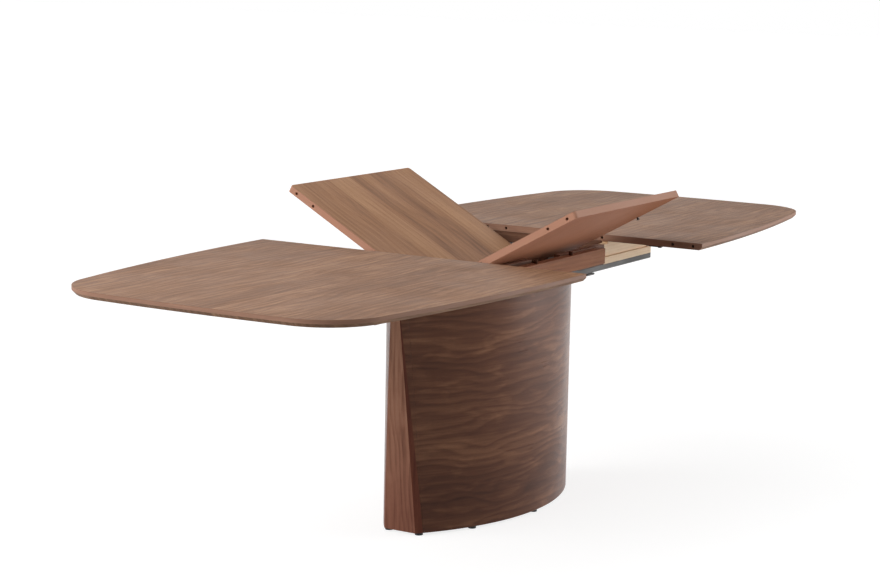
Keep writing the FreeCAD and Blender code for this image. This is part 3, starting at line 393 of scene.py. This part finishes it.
steel = {"metal": 1.0, "gloss": 0.5, "rough": 0.34, "speck": 1400.0, "brush": (12, 500, 500), "change": 0.7,
         "rub": 0.5, "corner": 0.0008, "smear": 0.14, "grit": 0.2, "bump": 0.12, "relief": 0.0003,
         "brushRough": 0.2, "brushHeight": 0.3, "worn": rgb(232, 230, 226)}
plains = {
    "greyRail": dict(steel, metal=0.0, gloss=0.3, rough=0.5, dark=rgb(54, 51, 50), light=rgb(80, 76, 74),
                     worn=rgb(150, 148, 145), grit=0.6, change=0.5),
    "zincSteel": dict(steel, dark=rgb(114, 109, 104), light=rgb(164, 159, 154)),
    "brightPin": dict(steel, rough=0.22, dark=rgb(176, 176, 178), light=rgb(222, 222, 222)),
    "screwSteel": dict(steel, rough=0.28, dark=rgb(150, 146, 138), light=rgb(206, 200, 188),
                       brush=(400, 400, 400)),
    "nylon": dict(steel, metal=0.0, gloss=0.45, rough=0.45, dark=rgb(214, 211, 202), light=rgb(236, 233, 226),
                  worn=rgb(244, 242, 238), brush=(40, 40, 40), change=0.4, grit=0.5, rub=0.3),
    "blackSteel": dict(steel, metal=0.0, rough=0.4, dark=rgb(22, 22, 23), light=rgb(38, 38, 40),
                       worn=rgb(98, 96, 94), grit=0.8),
    "blackPlastic": dict(steel, metal=0.0, gloss=0.45, rough=0.5, dark=rgb(14, 14, 15), light=rgb(26, 26, 28),
                         worn=rgb(60, 60, 62), brush=(60, 60, 60), grit=1.0, rub=0.25),
    "brownFelt": dict(steel, metal=0.0, gloss=0.1, rough=0.85, dark=rgb(70, 44, 32), light=rgb(104, 70, 52),
                      worn=rgb(120, 86, 66), brush=(300, 300, 300), grit=1.6, bump=0.3, rub=0.25),
}
finishes.update({name: plainMaterial(name, look) for name, look in plains.items()})
print("finishes:", len(finishes))


# Wooden pieces: a merged copy of each solid, with softened edges and grain laid along its timber.
weldWithin = 2e-6
flatWithin = math.radians(0.3)
bevelFrom = math.radians(32)
sharpFrom = math.radians(48)


def mergedCopy(nodeName, pieceName):
    work = bmesh.new()
    work.from_mesh(cadNodes[nodeName].data)
    bmesh.ops.remove_doubles(work, verts=work.verts, dist=weldWithin)
    bmesh.ops.dissolve_limit(work, angle_limit=flatWithin, verts=work.verts, edges=work.edges)
    mesh = bpy.data.meshes.new(pieceName)
    work.to_mesh(mesh)
    work.free()
    piece = bpy.data.objects.new(pieceName, mesh)
    bpy.context.scene.collection.objects.link(piece)
    return piece


def settle(piece):
    # Turns a piece with its modifiers into a plain mesh.
    bpy.context.view_layer.update()
    depsgraph = bpy.context.evaluated_depsgraph_get()
    finished = bpy.data.meshes.new_from_object(piece.evaluated_get(depsgraph), depsgraph=depsgraph)
    finished.name = piece.name
    piece.modifiers.clear()
    piece.data = finished


def soften(piece, width, segments=2):
    bevel = piece.modifiers.new("softEdge", "BEVEL")
    bevel.width = width
    bevel.segments = segments
    bevel.limit_method = "ANGLE"
    bevel.angle_limit = bevelFrom
    bevel.miter_outer = "MITER_ARC"
    for polygon in piece.data.polygons:
        polygon.use_smooth = True
    piece.data.set_sharp_from_angle(angle=sharpFrom)
    normals = piece.modifiers.new("evenShade", "WEIGHTED_NORMAL")
    normals.keep_sharp = True
    settle(piece)


# How squarely a normal has to face before its polygon counts as a show face, a cap or a side.
faceLean, capLean, sideLean = 0.6, 0.7, 0.5
endGrainSqueeze = 0.2


def layGrain(piece, timber):
    # UV map "grain" in metres, with "edge" 1 on the rims and "depth" below the show face.
    mesh = piece.data
    along, across, up = (Vector(axis).normalized() for axis in timber["axes"])
    radius = timber.get("radius")
    shift = timber.get("shift", (0.0, 0.0))
    top = max(up.dot(vertex.co) for vertex in mesh.vertices)
    places, rims, depths = [], [], []
    for polygon in mesh.polygons:
        normal = polygon.normal
        lean = (abs(along.dot(normal)), abs(across.dot(normal)), abs(up.dot(normal)))
        for corner in polygon.loop_indices:
            point = mesh.vertices[mesh.loops[corner].vertex_index].co
            a, b, c = along.dot(point), across.dot(point), up.dot(point)
            rim = 1.0
            if radius:
                a = radius * math.asin(max(-1, min(1, point.x / radius)))
                rim = 1.0 if abs(normal.z) > capLean else 0.0
                u, v = (a, c) if rim else (a, b)
            elif lean[2] > faceLean:
                u, v, rim = a, b, 0.0
            elif lean[1] >= lean[0]:
                u, v = a, c
            else:
                # On end grain the fibres are seen end on, so their lines are short.
                u, v = (c * endGrainSqueeze, b) if timber.get("endGrain") else (b, c)
            places += [u + shift[0], v + shift[1]]
            rims.append(rim)
            depths.append(top - c)
    mesh.uv_layers.new(name="grain").data.foreach_set("uv", places)
    for name, values in (("edge", rims), ("depth", depths)):
        mesh.attributes.new(name, "FLOAT", "CORNER").data.foreach_set("value", values)


def veneerLine(wrap):
    # A point on the line where the shell's veneer ends, and the level direction square to it.
    head, foot = (Vector((place[0], 0, place[1])) for place in (wrap["head"], wrap["foot"]))
    along = (head - foot).normalized()
    return foot, Vector((along.z, 0, -along.x)) * (-1 if wrap["head"][0] > 0 else 1)


def facesSideways(normal):
    return abs(normal.y) > sideLean


def cutMesh(piece, point, square, wanted=None):
    # New edges where a plane crosses the faces; nothing is taken away.
    work = bmesh.new()
    work.from_mesh(piece.data)
    work.normal_update()
    faces = {face for face in work.faces if wanted is None or wanted(face.normal)}
    crossed = [face for face in work.faces if face in faces]
    for parts in (work.edges, work.verts):
        crossed += [part for part in parts if faces.intersection(part.link_faces)]
    bmesh.ops.bisect_plane(work, geom=crossed, dist=weldWithin / 2, plane_co=point, plane_no=square)
    work.to_mesh(piece.data)
    work.free()


def wrapSides(piece, wrap):
    # Inside the line the curved sides carry the shell's veneer, outside it solid walnut in a darker copy of
    # the end board's finish, as painted shade.
    point, square = veneerLine(wrap)
    mesh = piece.data
    mesh.materials.append(finishes["walnutShell"])
    mesh.materials.append(finishes["walnutEndShadedSide"])
    places, rims = mesh.uv_layers["grain"].data, mesh.attributes["edge"].data
    for polygon in mesh.polygons:
        if not facesSideways(polygon.normal):
            continue
        inside = square.dot(polygon.center - point) > 0
        polygon.material_index = 1 if inside else 2
        shift = wrap["farShift"] if polygon.center.y > 0 else (0.0, 0.0)
        for corner in polygon.loop_indices:
            rims[corner].value = 0.0
            if inside:
                spot = mesh.vertices[mesh.loops[corner].vertex_index].co
                around = shellRadius * math.asin(spot.x / shellRadius)
                places[corner].uv = (around + shift[0], spot.z + shift[1])


def paintShadeInside(piece, place):
    # Painted shade: the inner length of a runner takes the dark batten walnut, so it reads as the shade
    # between the side rails.
    piece.data.materials.append(finishes["walnutBatten"])
    for polygon in piece.data.polygons:
        if abs(polygon.center.x) < abs(place):
            polygon.material_index = 1


def timberPiece(nodeName, pieceName, timber, body):
    piece = mergedCopy(nodeName, pieceName)
    if "wrap" in timber:
        cutMesh(piece, *veneerLine(timber["wrap"]), facesSideways)
    if "shadeWithin" in timber:
        cutMesh(piece, (timber["shadeWithin"], 0, 0), (1, 0, 0))
    soften(piece, timber["soft"], timber.get("segments", 2))
    layGrain(piece, timber)
    piece.data.materials.clear()
    piece.data.materials.append(finishes[timber["finish"]])
    if "wrap" in timber:
        wrapSides(piece, timber["wrap"])
    if "shadeWithin" in timber:
        paintShadeInside(piece, timber["shadeWithin"])
    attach(piece, body)
    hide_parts(nodeName)


wingRise = math.radians(29)


def wingAxes(side):
    # Out along the wing, along the table, and up from the wing's show face.
    out, high = math.cos(wingRise), math.sin(wingRise)
    return (0, side * out, high), (1, 0, 0), (0, -side * high, out)


shellRadius = 0.665
lengthwise = ((1, 0, 0), (0, 1, 0), (0, 0, 1))
crosswise = ((0, 1, 0), (1, 0, 0), (0, 0, 1))
onSide = ((1, 0, 0), (0, 0, 1), (0, 1, 0))
onEnd = ((0, 0, 1), (0, 1, 0), (1, 0, 0))
shellTimber = {"axes": onSide, "radius": shellRadius, "soft": 0.0009,
               "finish": "walnutShell", "slot": "walnut_pedestal"}
boardTimber = {"axes": lengthwise, "soft": 0.0004, "segments": 1, "finish": "birchPly", "slot": "birch_ply"}
runnerTimber = {"axes": onSide, "soft": 0.0006, "endGrain": True, "finish": "beech", "slot": "beech"}
battenTimber = {"axes": crosswise, "soft": 0.0012, "endGrain": True, "finish": "walnutBatten",
                "slot": "walnut_batten"}
topTimber = {"axes": lengthwise, "soft": 0.0011, "segments": 3, "finish": "walnutTop", "slot": "walnut_top"}
wingTimber = {"soft": 0.0009, "segments": 3, "finish": "walnutWing", "slot": "walnut_top"}

# Each node: its piece, the body it rides on and its timber. The shift picks its place on the veneer.
timbers = {
    "top_left": ("topLeft", "left_half", dict(topTimber, shift=(0.0, 0.07))),
    "top_right": ("topRight", "right_half", dict(topTimber, shift=(4.1, 0.0))),
    "wing_far": ("wingFar", "wing_far", dict(wingTimber, axes=wingAxes(1), shift=(1.3, 0.02))),
    "wing_near": ("wingNear", "wing_near", dict(wingTimber, axes=wingAxes(-1), shift=(9.0, 0.3))),
    "shell_far": ("shellFar", "root", dict(shellTimber, shift=(5.0, 2.0))),
    "shell_near": ("shellNear", "root", dict(shellTimber)),
    "base_board": ("baseBoard", "root", dict(boardTimber)),
    "sub_top": ("pedestalHead", "root", dict(boardTimber, shift=(2.0, 0.0), finish="lippedPly")),
}
for side, sign in (("far", 1), ("near", -1)):
    timbers[f"apron_{side}"] = (f"sideRail_{side}", "root", {
        "axes": onSide, "soft": 0.0009, "finish": "walnutRail", "slot": "walnut_rail", "shift": (sign, 0.2)})
    # The last number is where each runner's painted shade ends.
    for end, height, shadeWithin in (("left", 0.4, -0.328), ("right", 0.9, 0.328)):
        timbers[f"runner_{end}_{side}"] = (f"runner_{end}_{side}_beech", f"{end}_half", dict(
            runnerTimber, shift=(3.0 * sign, height), shadeWithin=shadeWithin))
for end, sign in (("left", -1), ("right", 1)):
    timbers[f"end_board_{end}"] = (f"endBoard_{end}", "root", {
        "axes": onEnd, "soft": 0.0009, "finish": "walnutEnd", "slot": "walnut_pedestal",
        "shift": (0.6 * sign, 0.5 * sign),
        "wrap": {"head": (0.4545 * sign, 0.625), "foot": (0.395 * sign, 0.007), "farShift": (5.0, 2.0)}})
    timbers[f"bulkhead_{end}"] = (f"bulkhead_{end}_board", "root",
                                  dict(boardTimber, axes=onEnd, shift=(6.0 * sign, 0.0)))
    for order, height in (("inner", 0.1), ("outer", 0.7)):
        timbers[f"batten_{order}_{end}"] = (f"batten_{order}_{end}_walnut", f"{end}_half", dict(
            battenTimber, shift=(2.0 * sign, height)))

for nodeName, (pieceName, body, timber) in timbers.items():
    timberPiece(nodeName, pieceName, timber, body)
print("wooden pieces:", len(timbers))


# A bar under each joint edge, between the runners.
bar = {"near": 0.3492, "thick": 0.0118, "reach": 0.186, "low": 0.694, "high": 0.7258, "soft": 0.0012,
       "axes": ((0, 1, 0), (0, 0, 1), (1, 0, 0)), "shift": (7.0, 0.3)}


def jointBar(end, sign):
    piece = bpy.data.objects.new(f"jointBar_{end}", bpy.data.meshes.new(f"jointBar_{end}"))
    bpy.context.scene.collection.objects.link(piece)
    work = bmesh.new()
    middle = Vector((sign * (bar["near"] + bar["thick"] / 2), 0, (bar["low"] + bar["high"]) / 2))
    spread = (bar["thick"], 2 * bar["reach"], bar["high"] - bar["low"])
    bmesh.ops.create_cube(work, size=1.0, matrix=Matrix.Translation(middle) @ Matrix.Diagonal((*spread, 1)))
    work.to_mesh(piece.data)
    work.free()
    soften(piece, bar["soft"])
    layGrain(piece, dict(bar, shift=(sign * bar["shift"][0], bar["shift"][1])))
    piece.data.materials.append(finishes["walnutBatten"])
    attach(piece, f"{end}_half")


jointBar("left", -1)
jointBar("right", 1)
print("joint bars ready")


# The underside of each wing is plainer veneer, and painted lighter than the show face to stand in for light
# reaching it.
underLean = 0.9


def paintUnderside(pieceName, up):
    mesh = bpy.data.objects[pieceName].data
    mesh.materials.append(finishes["walnutWingUnderLit"])
    for polygon in mesh.polygons:
        if polygon.normal.dot(Vector(up)) < -underLean:
            polygon.material_index = 1


paintUnderside("wingFar", wingAxes(1)[2])
paintUnderside("wingNear", wingAxes(-1)[2])


# Metal, plastic and felt that keep the shape of their solids.
hardware = {
    "zincSteel": ("guide_rail_left", "guide_rail_right", "hinge_bracket_left", "hinge_bracket_right",
                  "hinges_far", "hinges_near", "racks_left", "racks_right"),
    "brightPin": ("hinge_pins", "pinion_studs", "gas_rods"),
    "nylon": ("glide_shoes", "carriage_shoe_left", "carriage_shoe_right", "pinion_far", "pinion_near"),
    "blackSteel": ("latch_bases", "latch_far", "latch_near", "gas_cylinders", "keepers_left",
                   "wing_keeper_far", "wing_keeper_near"),
    "blackPlastic": ("glides",),
    "brownFelt": ("leaf_rests",),
}
for finish, names in hardware.items():
    for nodeName in names:
        mesh = cadNodes[nodeName].data
        mesh.materials.clear()
        mesh.materials.append(finishes[finish])


def softPiece(nodeName, pieceName, body, width, finish="greyRail"):
    # Folded or moulded hardware that shows gets its corners softened.
    piece = mergedCopy(nodeName, pieceName)
    soften(piece, width)
    piece.data.materials.clear()
    piece.data.materials.append(finishes[finish])
    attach(piece, body)
    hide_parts(nodeName)


for end in ("left", "right"):
    for side in ("far", "near"):
        softPiece(f"rail_{end}_{side}", f"slideRail_{end}_{side}", f"{end}_half", 0.0005)
softPiece("apron_brackets", "railBrackets", "root", 0.0006)
softPiece("slide_brackets", "slideBrackets", "root", 0.0006)
softPiece("rack_hangers", "rackHangers", "right_half", 0.0005)
softPiece("carriage_beam", "liftBeam", "carriage", 0.0008, "zincSteel")
print("hardware finished")


# Dowels with rounded noses.
dowelTimber = {"axes": lengthwise, "soft": 0.0009, "finish": "dowelBeech", "slot": "dowel_wood"}
for nodeName, pieceName, body in (("dowels_left", "dowelsLeft", "left_half"),
                                  ("wing_dowels_far", "wingDowelsFar", "wing_far"),
                                  ("wing_dowels_near", "wingDowelsNear", "wing_near")):
    timberPiece(nodeName, pieceName, dowelTimber, body)


# Screws: one tree sets a cross-headed screw on every marked point.
screwSize = {"Head Radius": 0.004, "Head Height": 0.0022, "Slot Length": 0.0046, "Slot Width": 0.0011,
             "Slot Depth": 0.0012}
screwShape = {"corners": 14, "crown": 0.62, "skirt": 0.45}


def makeScrewTree():
    tree, given, result = newGroup(
        "crossScrews",
        [("Points", "NodeSocketGeometry", None),
         *((label, floatSocket, value) for label, value in screwSize.items()),
         ("Turn Seed", "NodeSocketInt", 7), ("Finish", "NodeSocketMaterial", None)],
        [("Screws", "NodeSocketGeometry")], "GeometryNodeTree")
    crown = times(tree, given["Head Radius"], screwShape["crown"])
    skirt = times(tree, given["Head Height"], screwShape["skirt"])
    rim = add(tree, "GeometryNodeMeshCylinder", {
        "Vertices": screwShape["corners"], "Radius": given["Head Radius"], "Depth": skirt}).outputs["Mesh"]
    dome = add(tree, "GeometryNodeMeshCone", {
        "Vertices": screwShape["corners"], "Radius Top": crown, "Radius Bottom": given["Head Radius"],
        "Depth": calc(tree, "SUBTRACT", given["Head Height"], skirt)}).outputs["Mesh"]
    lift = add(tree, "ShaderNodeCombineXYZ", {2: times(tree, skirt, 0.5)}).outputs[0]
    top = add(tree, "ShaderNodeCombineXYZ", {2: skirt}).outputs[0]
    rim = add(tree, "GeometryNodeTransform", {"Geometry": rim, "Translation": lift}).outputs[0]
    dome = add(tree, "GeometryNodeTransform", {"Geometry": dome, "Translation": top}).outputs[0]
    head = add(tree, "GeometryNodeMeshBoolean", operation="UNION", solver="EXACT")
    tree.links.new(rim, head.inputs["Mesh 2"])
    tree.links.new(dome, head.inputs["Mesh 2"])
    deep = add(tree, "ShaderNodeCombineXYZ", {2: given["Head Height"]}).outputs[0]
    tall = times(tree, given["Slot Depth"], 2.0)  # the upper half is in the air
    cut = add(tree, "GeometryNodeMeshBoolean", {"Mesh 1": head.outputs["Mesh"]}, operation="DIFFERENCE",
              solver="EXACT")
    for wide, long in (("Slot Width", "Slot Length"), ("Slot Length", "Slot Width")):
        size = add(tree, "ShaderNodeCombineXYZ", {0: given[wide], 1: given[long], 2: tall}).outputs[0]
        slot = add(tree, "GeometryNodeMeshCube", {"Size": size}).outputs["Mesh"]
        slot = add(tree, "GeometryNodeTransform", {"Geometry": slot, "Translation": deep}).outputs[0]
        tree.links.new(slot, cut.inputs["Mesh 2"])
    away = add(tree, "GeometryNodeInputNamedAttribute", {"Name": "away"}, data_type="FLOAT_VECTOR").outputs[0]
    turn = add(tree, "FunctionNodeRandomValue", {3: math.pi, "Seed": given["Turn Seed"]}, data_type="FLOAT")
    spin = add(tree, "FunctionNodeAxisAngleToRotation", {"Axis": (0, 0, 1), "Angle": turn.outputs[1]})
    face = add(tree, "FunctionNodeAlignRotationToVector", {"Rotation": spin.outputs[0], "Vector": away},
               axis="Z").outputs[0]
    placed = add(tree, "GeometryNodeInstanceOnPoints", {
        "Points": given["Points"], "Instance": cut.outputs["Mesh"], "Rotation": face}).outputs[0]
    real = add(tree, "GeometryNodeRealizeInstances", {"Geometry": placed}).outputs[0]
    feed(tree, result, {"Screws": add(tree, "GeometryNodeSetMaterial", {
        "Geometry": real, "Material": given["Finish"]}).outputs[0]})
    return tree


screwTree = makeScrewTree()


def setScrews(pieceName, body, spots, seed):
    # spots: pairs of a point on the surface and the direction that the head faces.
    mesh = bpy.data.meshes.new(pieceName)
    mesh.from_pydata([spot for spot, _ in spots], [], [])
    away = mesh.attributes.new("away", "FLOAT_VECTOR", "POINT")
    away.data.foreach_set("vector", [number for _, facing in spots for number in facing])
    piece = bpy.data.objects.new(pieceName, mesh)
    bpy.context.scene.collection.objects.link(piece)
    modifier = piece.modifiers.new("crossScrews", "NODES")
    modifier.node_group = screwTree
    values = dict(screwSize, **{"Turn Seed": seed, "Finish": finishes["screwSteel"]})
    for item in screwTree.interface.items_tree:
        if item.in_out == "INPUT" and item.name in values:
            modifier[item.identifier] = values[item.name]
    settle(piece)
    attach(piece, body)
    return len(spots)


def nodeBox(nodeName):
    # The lowest and the highest corner of a CAD node.
    corners = [vertex.co for vertex in cadNodes[nodeName].data.vertices]
    return [Vector([pick(corner[axis] for corner in corners) for axis in range(3)]) for pick in (min, max)]


battenScrews = {"count": 6, "margin": 0.030, "stagger": 0.010}
railScrews = {"count": 5, "start": 0.345, "pitch": 0.066}
# Screws on the brackets: places along and across the table, height, and the way the heads face.
headUp, headDown = (0, 0, 1), (0, 0, -1)
bracketScrews = (((0.1, 0.124, 0.644), headUp), ((0.1, 0.146, 0.644), headUp),
                 ((0.088, 0.227, 0.667), headDown), ((0.112, 0.227, 0.667), headDown),
                 ((0.25, 0.122, 0.644), headUp), ((0.25, 0.146, 0.644), headUp))
hangerScrews = [((x, y, 0.721), headDown) for x in (0.369, 0.385) for y in (-0.150, 0.150)]
hingeScrews = {"axis": (0.040, 0.6615), "middle": 0.2, "reach": (0.030, 0.060), "apart": 0.024, "drop": 0.012}


def halfScrews(end, sign):
    spots = []
    for order in ("inner", "outer"):
        low, high = nodeBox(f"batten_{order}_{end}")
        reach = high.y - battenScrews["margin"]
        for step in range(battenScrews["count"]):
            aside = battenScrews["stagger"] * (1 if step % 2 else -1)
            y = reach * (2 * step / (battenScrews["count"] - 1) - 1)
            spots.append((((low.x + high.x) / 2 + sign * aside, y, low.z), headDown))
    for side in ("near", "far"):
        low, high = nodeBox(f"rail_{end}_{side}")
        for step in range(railScrews["count"]):
            x = sign * (railScrews["start"] + railScrews["pitch"] * step)
            spots.append(((x, (low.y + high.y) / 2, low.z), headDown))
    return spots


def rootScrews():
    return [((end * x, side * y, z), facing)
            for end in (-1, 1) for side in (-1, 1) for (x, y, z), facing in bracketScrews]


def wingScrews(side):
    # Four screws hold each hinge plate to the underside of the wing.
    out, _, above = (Vector(axis) for axis in wingAxes(side))
    axis = Vector((0, side * hingeScrews["axis"][0], hingeScrews["axis"][1]))
    spots = []
    for x in (-hingeScrews["middle"], hingeScrews["middle"]):
        for reach in hingeScrews["reach"]:
            for aside in (-hingeScrews["apart"] / 2, hingeScrews["apart"] / 2):
                spot = axis + out * reach - above * hingeScrews["drop"] + Vector((x + aside, 0, 0))
                spots.append((tuple(spot), tuple(-above)))
    return spots


count = setScrews("screwsLeftHalf", "left_half", halfScrews("left", -1), 3)
count += setScrews("screwsRightHalf", "right_half", halfScrews("right", 1) + hangerScrews, 4)
count += setScrews("screwsPedestal", "root", rootScrews(), 5)
count += setScrews("screwsWingFar", "wing_far", wingScrews(1), 6)
count += setScrews("screwsWingNear", "wing_near", wingScrews(-1), 8)
print("screws:", count)


# Floor, light and camera.
def makeFloor(look):
    bpy.ops.mesh.primitive_grid_add(x_subdivisions=2, y_subdivisions=2, size=look["size"])
    floor = bpy.context.object
    floor.name = "studioFloor"
    material, tree, principled = newMaterial("studioPaper", Specular_IOR_Level=0.0, Roughness=0.95)
    principled.inputs["Base Color"].default_value = look["colour"]
    paths = add(tree, "ShaderNodeLightPath").outputs
    seen = calc(tree, "MAXIMUM", calc(tree, "MAXIMUM", paths["Is Camera Ray"], paths["Is Glossy Ray"]),
                paths["Is Transmission Ray"])
    principled.inputs["Emission Color"].default_value = (1, 1, 1, 1)
    tree.links.new(times(tree, seen, look["lift"]), principled.inputs["Emission Strength"])
    floor.data.materials.append(material)


def makeWorld(look):
    world = bpy.data.worlds.new("studioAir")
    bpy.context.scene.world = world
    world.use_nodes = True
    tree = world.node_tree
    tree.nodes.clear()
    paths = add(tree, "ShaderNodeLightPath").outputs
    seen = calc(tree, "MAXIMUM", paths["Is Camera Ray"], paths["Is Transmission Ray"])
    around = add(tree, "ShaderNodeTexCoord").outputs["Generated"]
    facing = add(tree, "ShaderNodeVectorMath", {0: around, 1: look["darkSide"]}, operation="DOT_PRODUCT")
    shade = ramp(tree, facing.outputs["Value"], *look["shadeFade"], 1.0, look["darkness"])
    plain = add(tree, "ShaderNodeMix", {0: paths["Is Glossy Ray"], 2: look["ambient"], 3: look["glossy"]})
    strength = add(tree, "ShaderNodeMix", {0: seen, 2: times(tree, plain.outputs[0], shade), 3: 1.0})
    back = add(tree, "ShaderNodeBackground", {"Color": (1, 1, 1, 1), "Strength": strength.outputs[0]})
    out = add(tree, "ShaderNodeOutputWorld")
    tree.links.new(back.outputs[0], out.inputs["Surface"])


def makeSky(name, look):
    # Light from a wide patch of a far white ceiling or wall, even over the whole floor.
    data = bpy.data.lights.new(name, "SUN")
    data.energy = look["strength"]
    data.angle = math.radians(look["spread"])
    lamp = bpy.data.objects.new(name, data)
    bpy.context.scene.collection.objects.link(lamp)
    lamp.location = look["from"]
    lamp.rotation_euler = Vector(look["from"]).to_track_quat("Z", "Y").to_euler()


def makePanel(name, look):
    # A soft box close by, left out of the picture itself.
    data = bpy.data.lights.new(name, "AREA")
    data.shape = "RECTANGLE"
    data.size, data.size_y = look["size"]
    data.energy = look["watts"]
    lamp = bpy.data.objects.new(name, data)
    bpy.context.scene.collection.objects.link(lamp)
    lamp.location = look["at"]
    lamp.visible_camera = False
    aim = Vector(look["towards"]) - Vector(look["at"])
    lamp.rotation_euler = aim.to_track_quat("-Z", "Y").to_euler()


def makeCamera(look):
    data = bpy.data.cameras.new("studioCamera")
    data.sensor_fit = "HORIZONTAL"
    data.sensor_width = look["sensor"]
    data.lens = look["focal"] * look["sensor"] / look["picture"]
    yaw, pitch, roll = look["yaw"], look["pitch"], look["roll"]
    ahead = Vector((math.sin(yaw) * math.cos(pitch), math.cos(yaw) * math.cos(pitch), -math.sin(pitch)))
    right = ahead.cross(Vector((0, 0, 1))).normalized()
    up = right.cross(ahead)
    turnedRight = right * math.cos(roll) + up * math.sin(roll)
    turnedUp = up * math.cos(roll) - right * math.sin(roll)
    camera = bpy.data.objects.new("studioCamera", data)
    bpy.context.scene.collection.objects.link(camera)
    camera.matrix_world = Matrix.Translation(look["at"]) @ Matrix(
        (turnedRight, turnedUp, -ahead)).transposed().to_4x4()
    bpy.context.scene.camera = camera


makeFloor({"size": 60.0, "colour": (0.36, 0.36, 0.36, 1), "lift": 0.8})
makeWorld({"ambient": 0.3, "glossy": 1.0, "darkSide": (-0.86, -0.5, 0.1), "darkness": 0.1,
           "shadeFade": (0.25, 0.95)})
makeSky("overheadLight", {"from": (-0.25, 0.35, 1.0), "strength": 0.45, "spread": 80})
makeSky("leftLight", {"from": (-0.8, 0.6, 0.25), "strength": 2.1, "spread": 60})
makeSky("rightLight", {"from": (0.7, -0.7, 0.08), "strength": 2.1, "spread": 60})
makePanel("windowPanel", {"at": (-2.6, 1.0, 2.4), "towards": (-1.0, 0.0, 0.7), "size": (2.8, 2.8),
                          "watts": 50})
makePanel("lowPanel", {"at": (2.8, -2.6, 0.5), "towards": (0.2, -0.3, 0.7), "size": (1.8, 0.8), "watts": 36})
# The focal length is in pixels of a picture 880 wide; the angles are in radians, yaw from +Y to +X.
makeCamera({"focal": 2203.994285, "picture": 880, "sensor": 36.0, "yaw": 1.0250963, "pitch": 0.1622455,
            "roll": 0.0192577, "at": (-5.25668813, -3.05279732, 1.59069438)})
bpy.context.scene.view_settings.view_transform = "Standard"
print("stage ready")
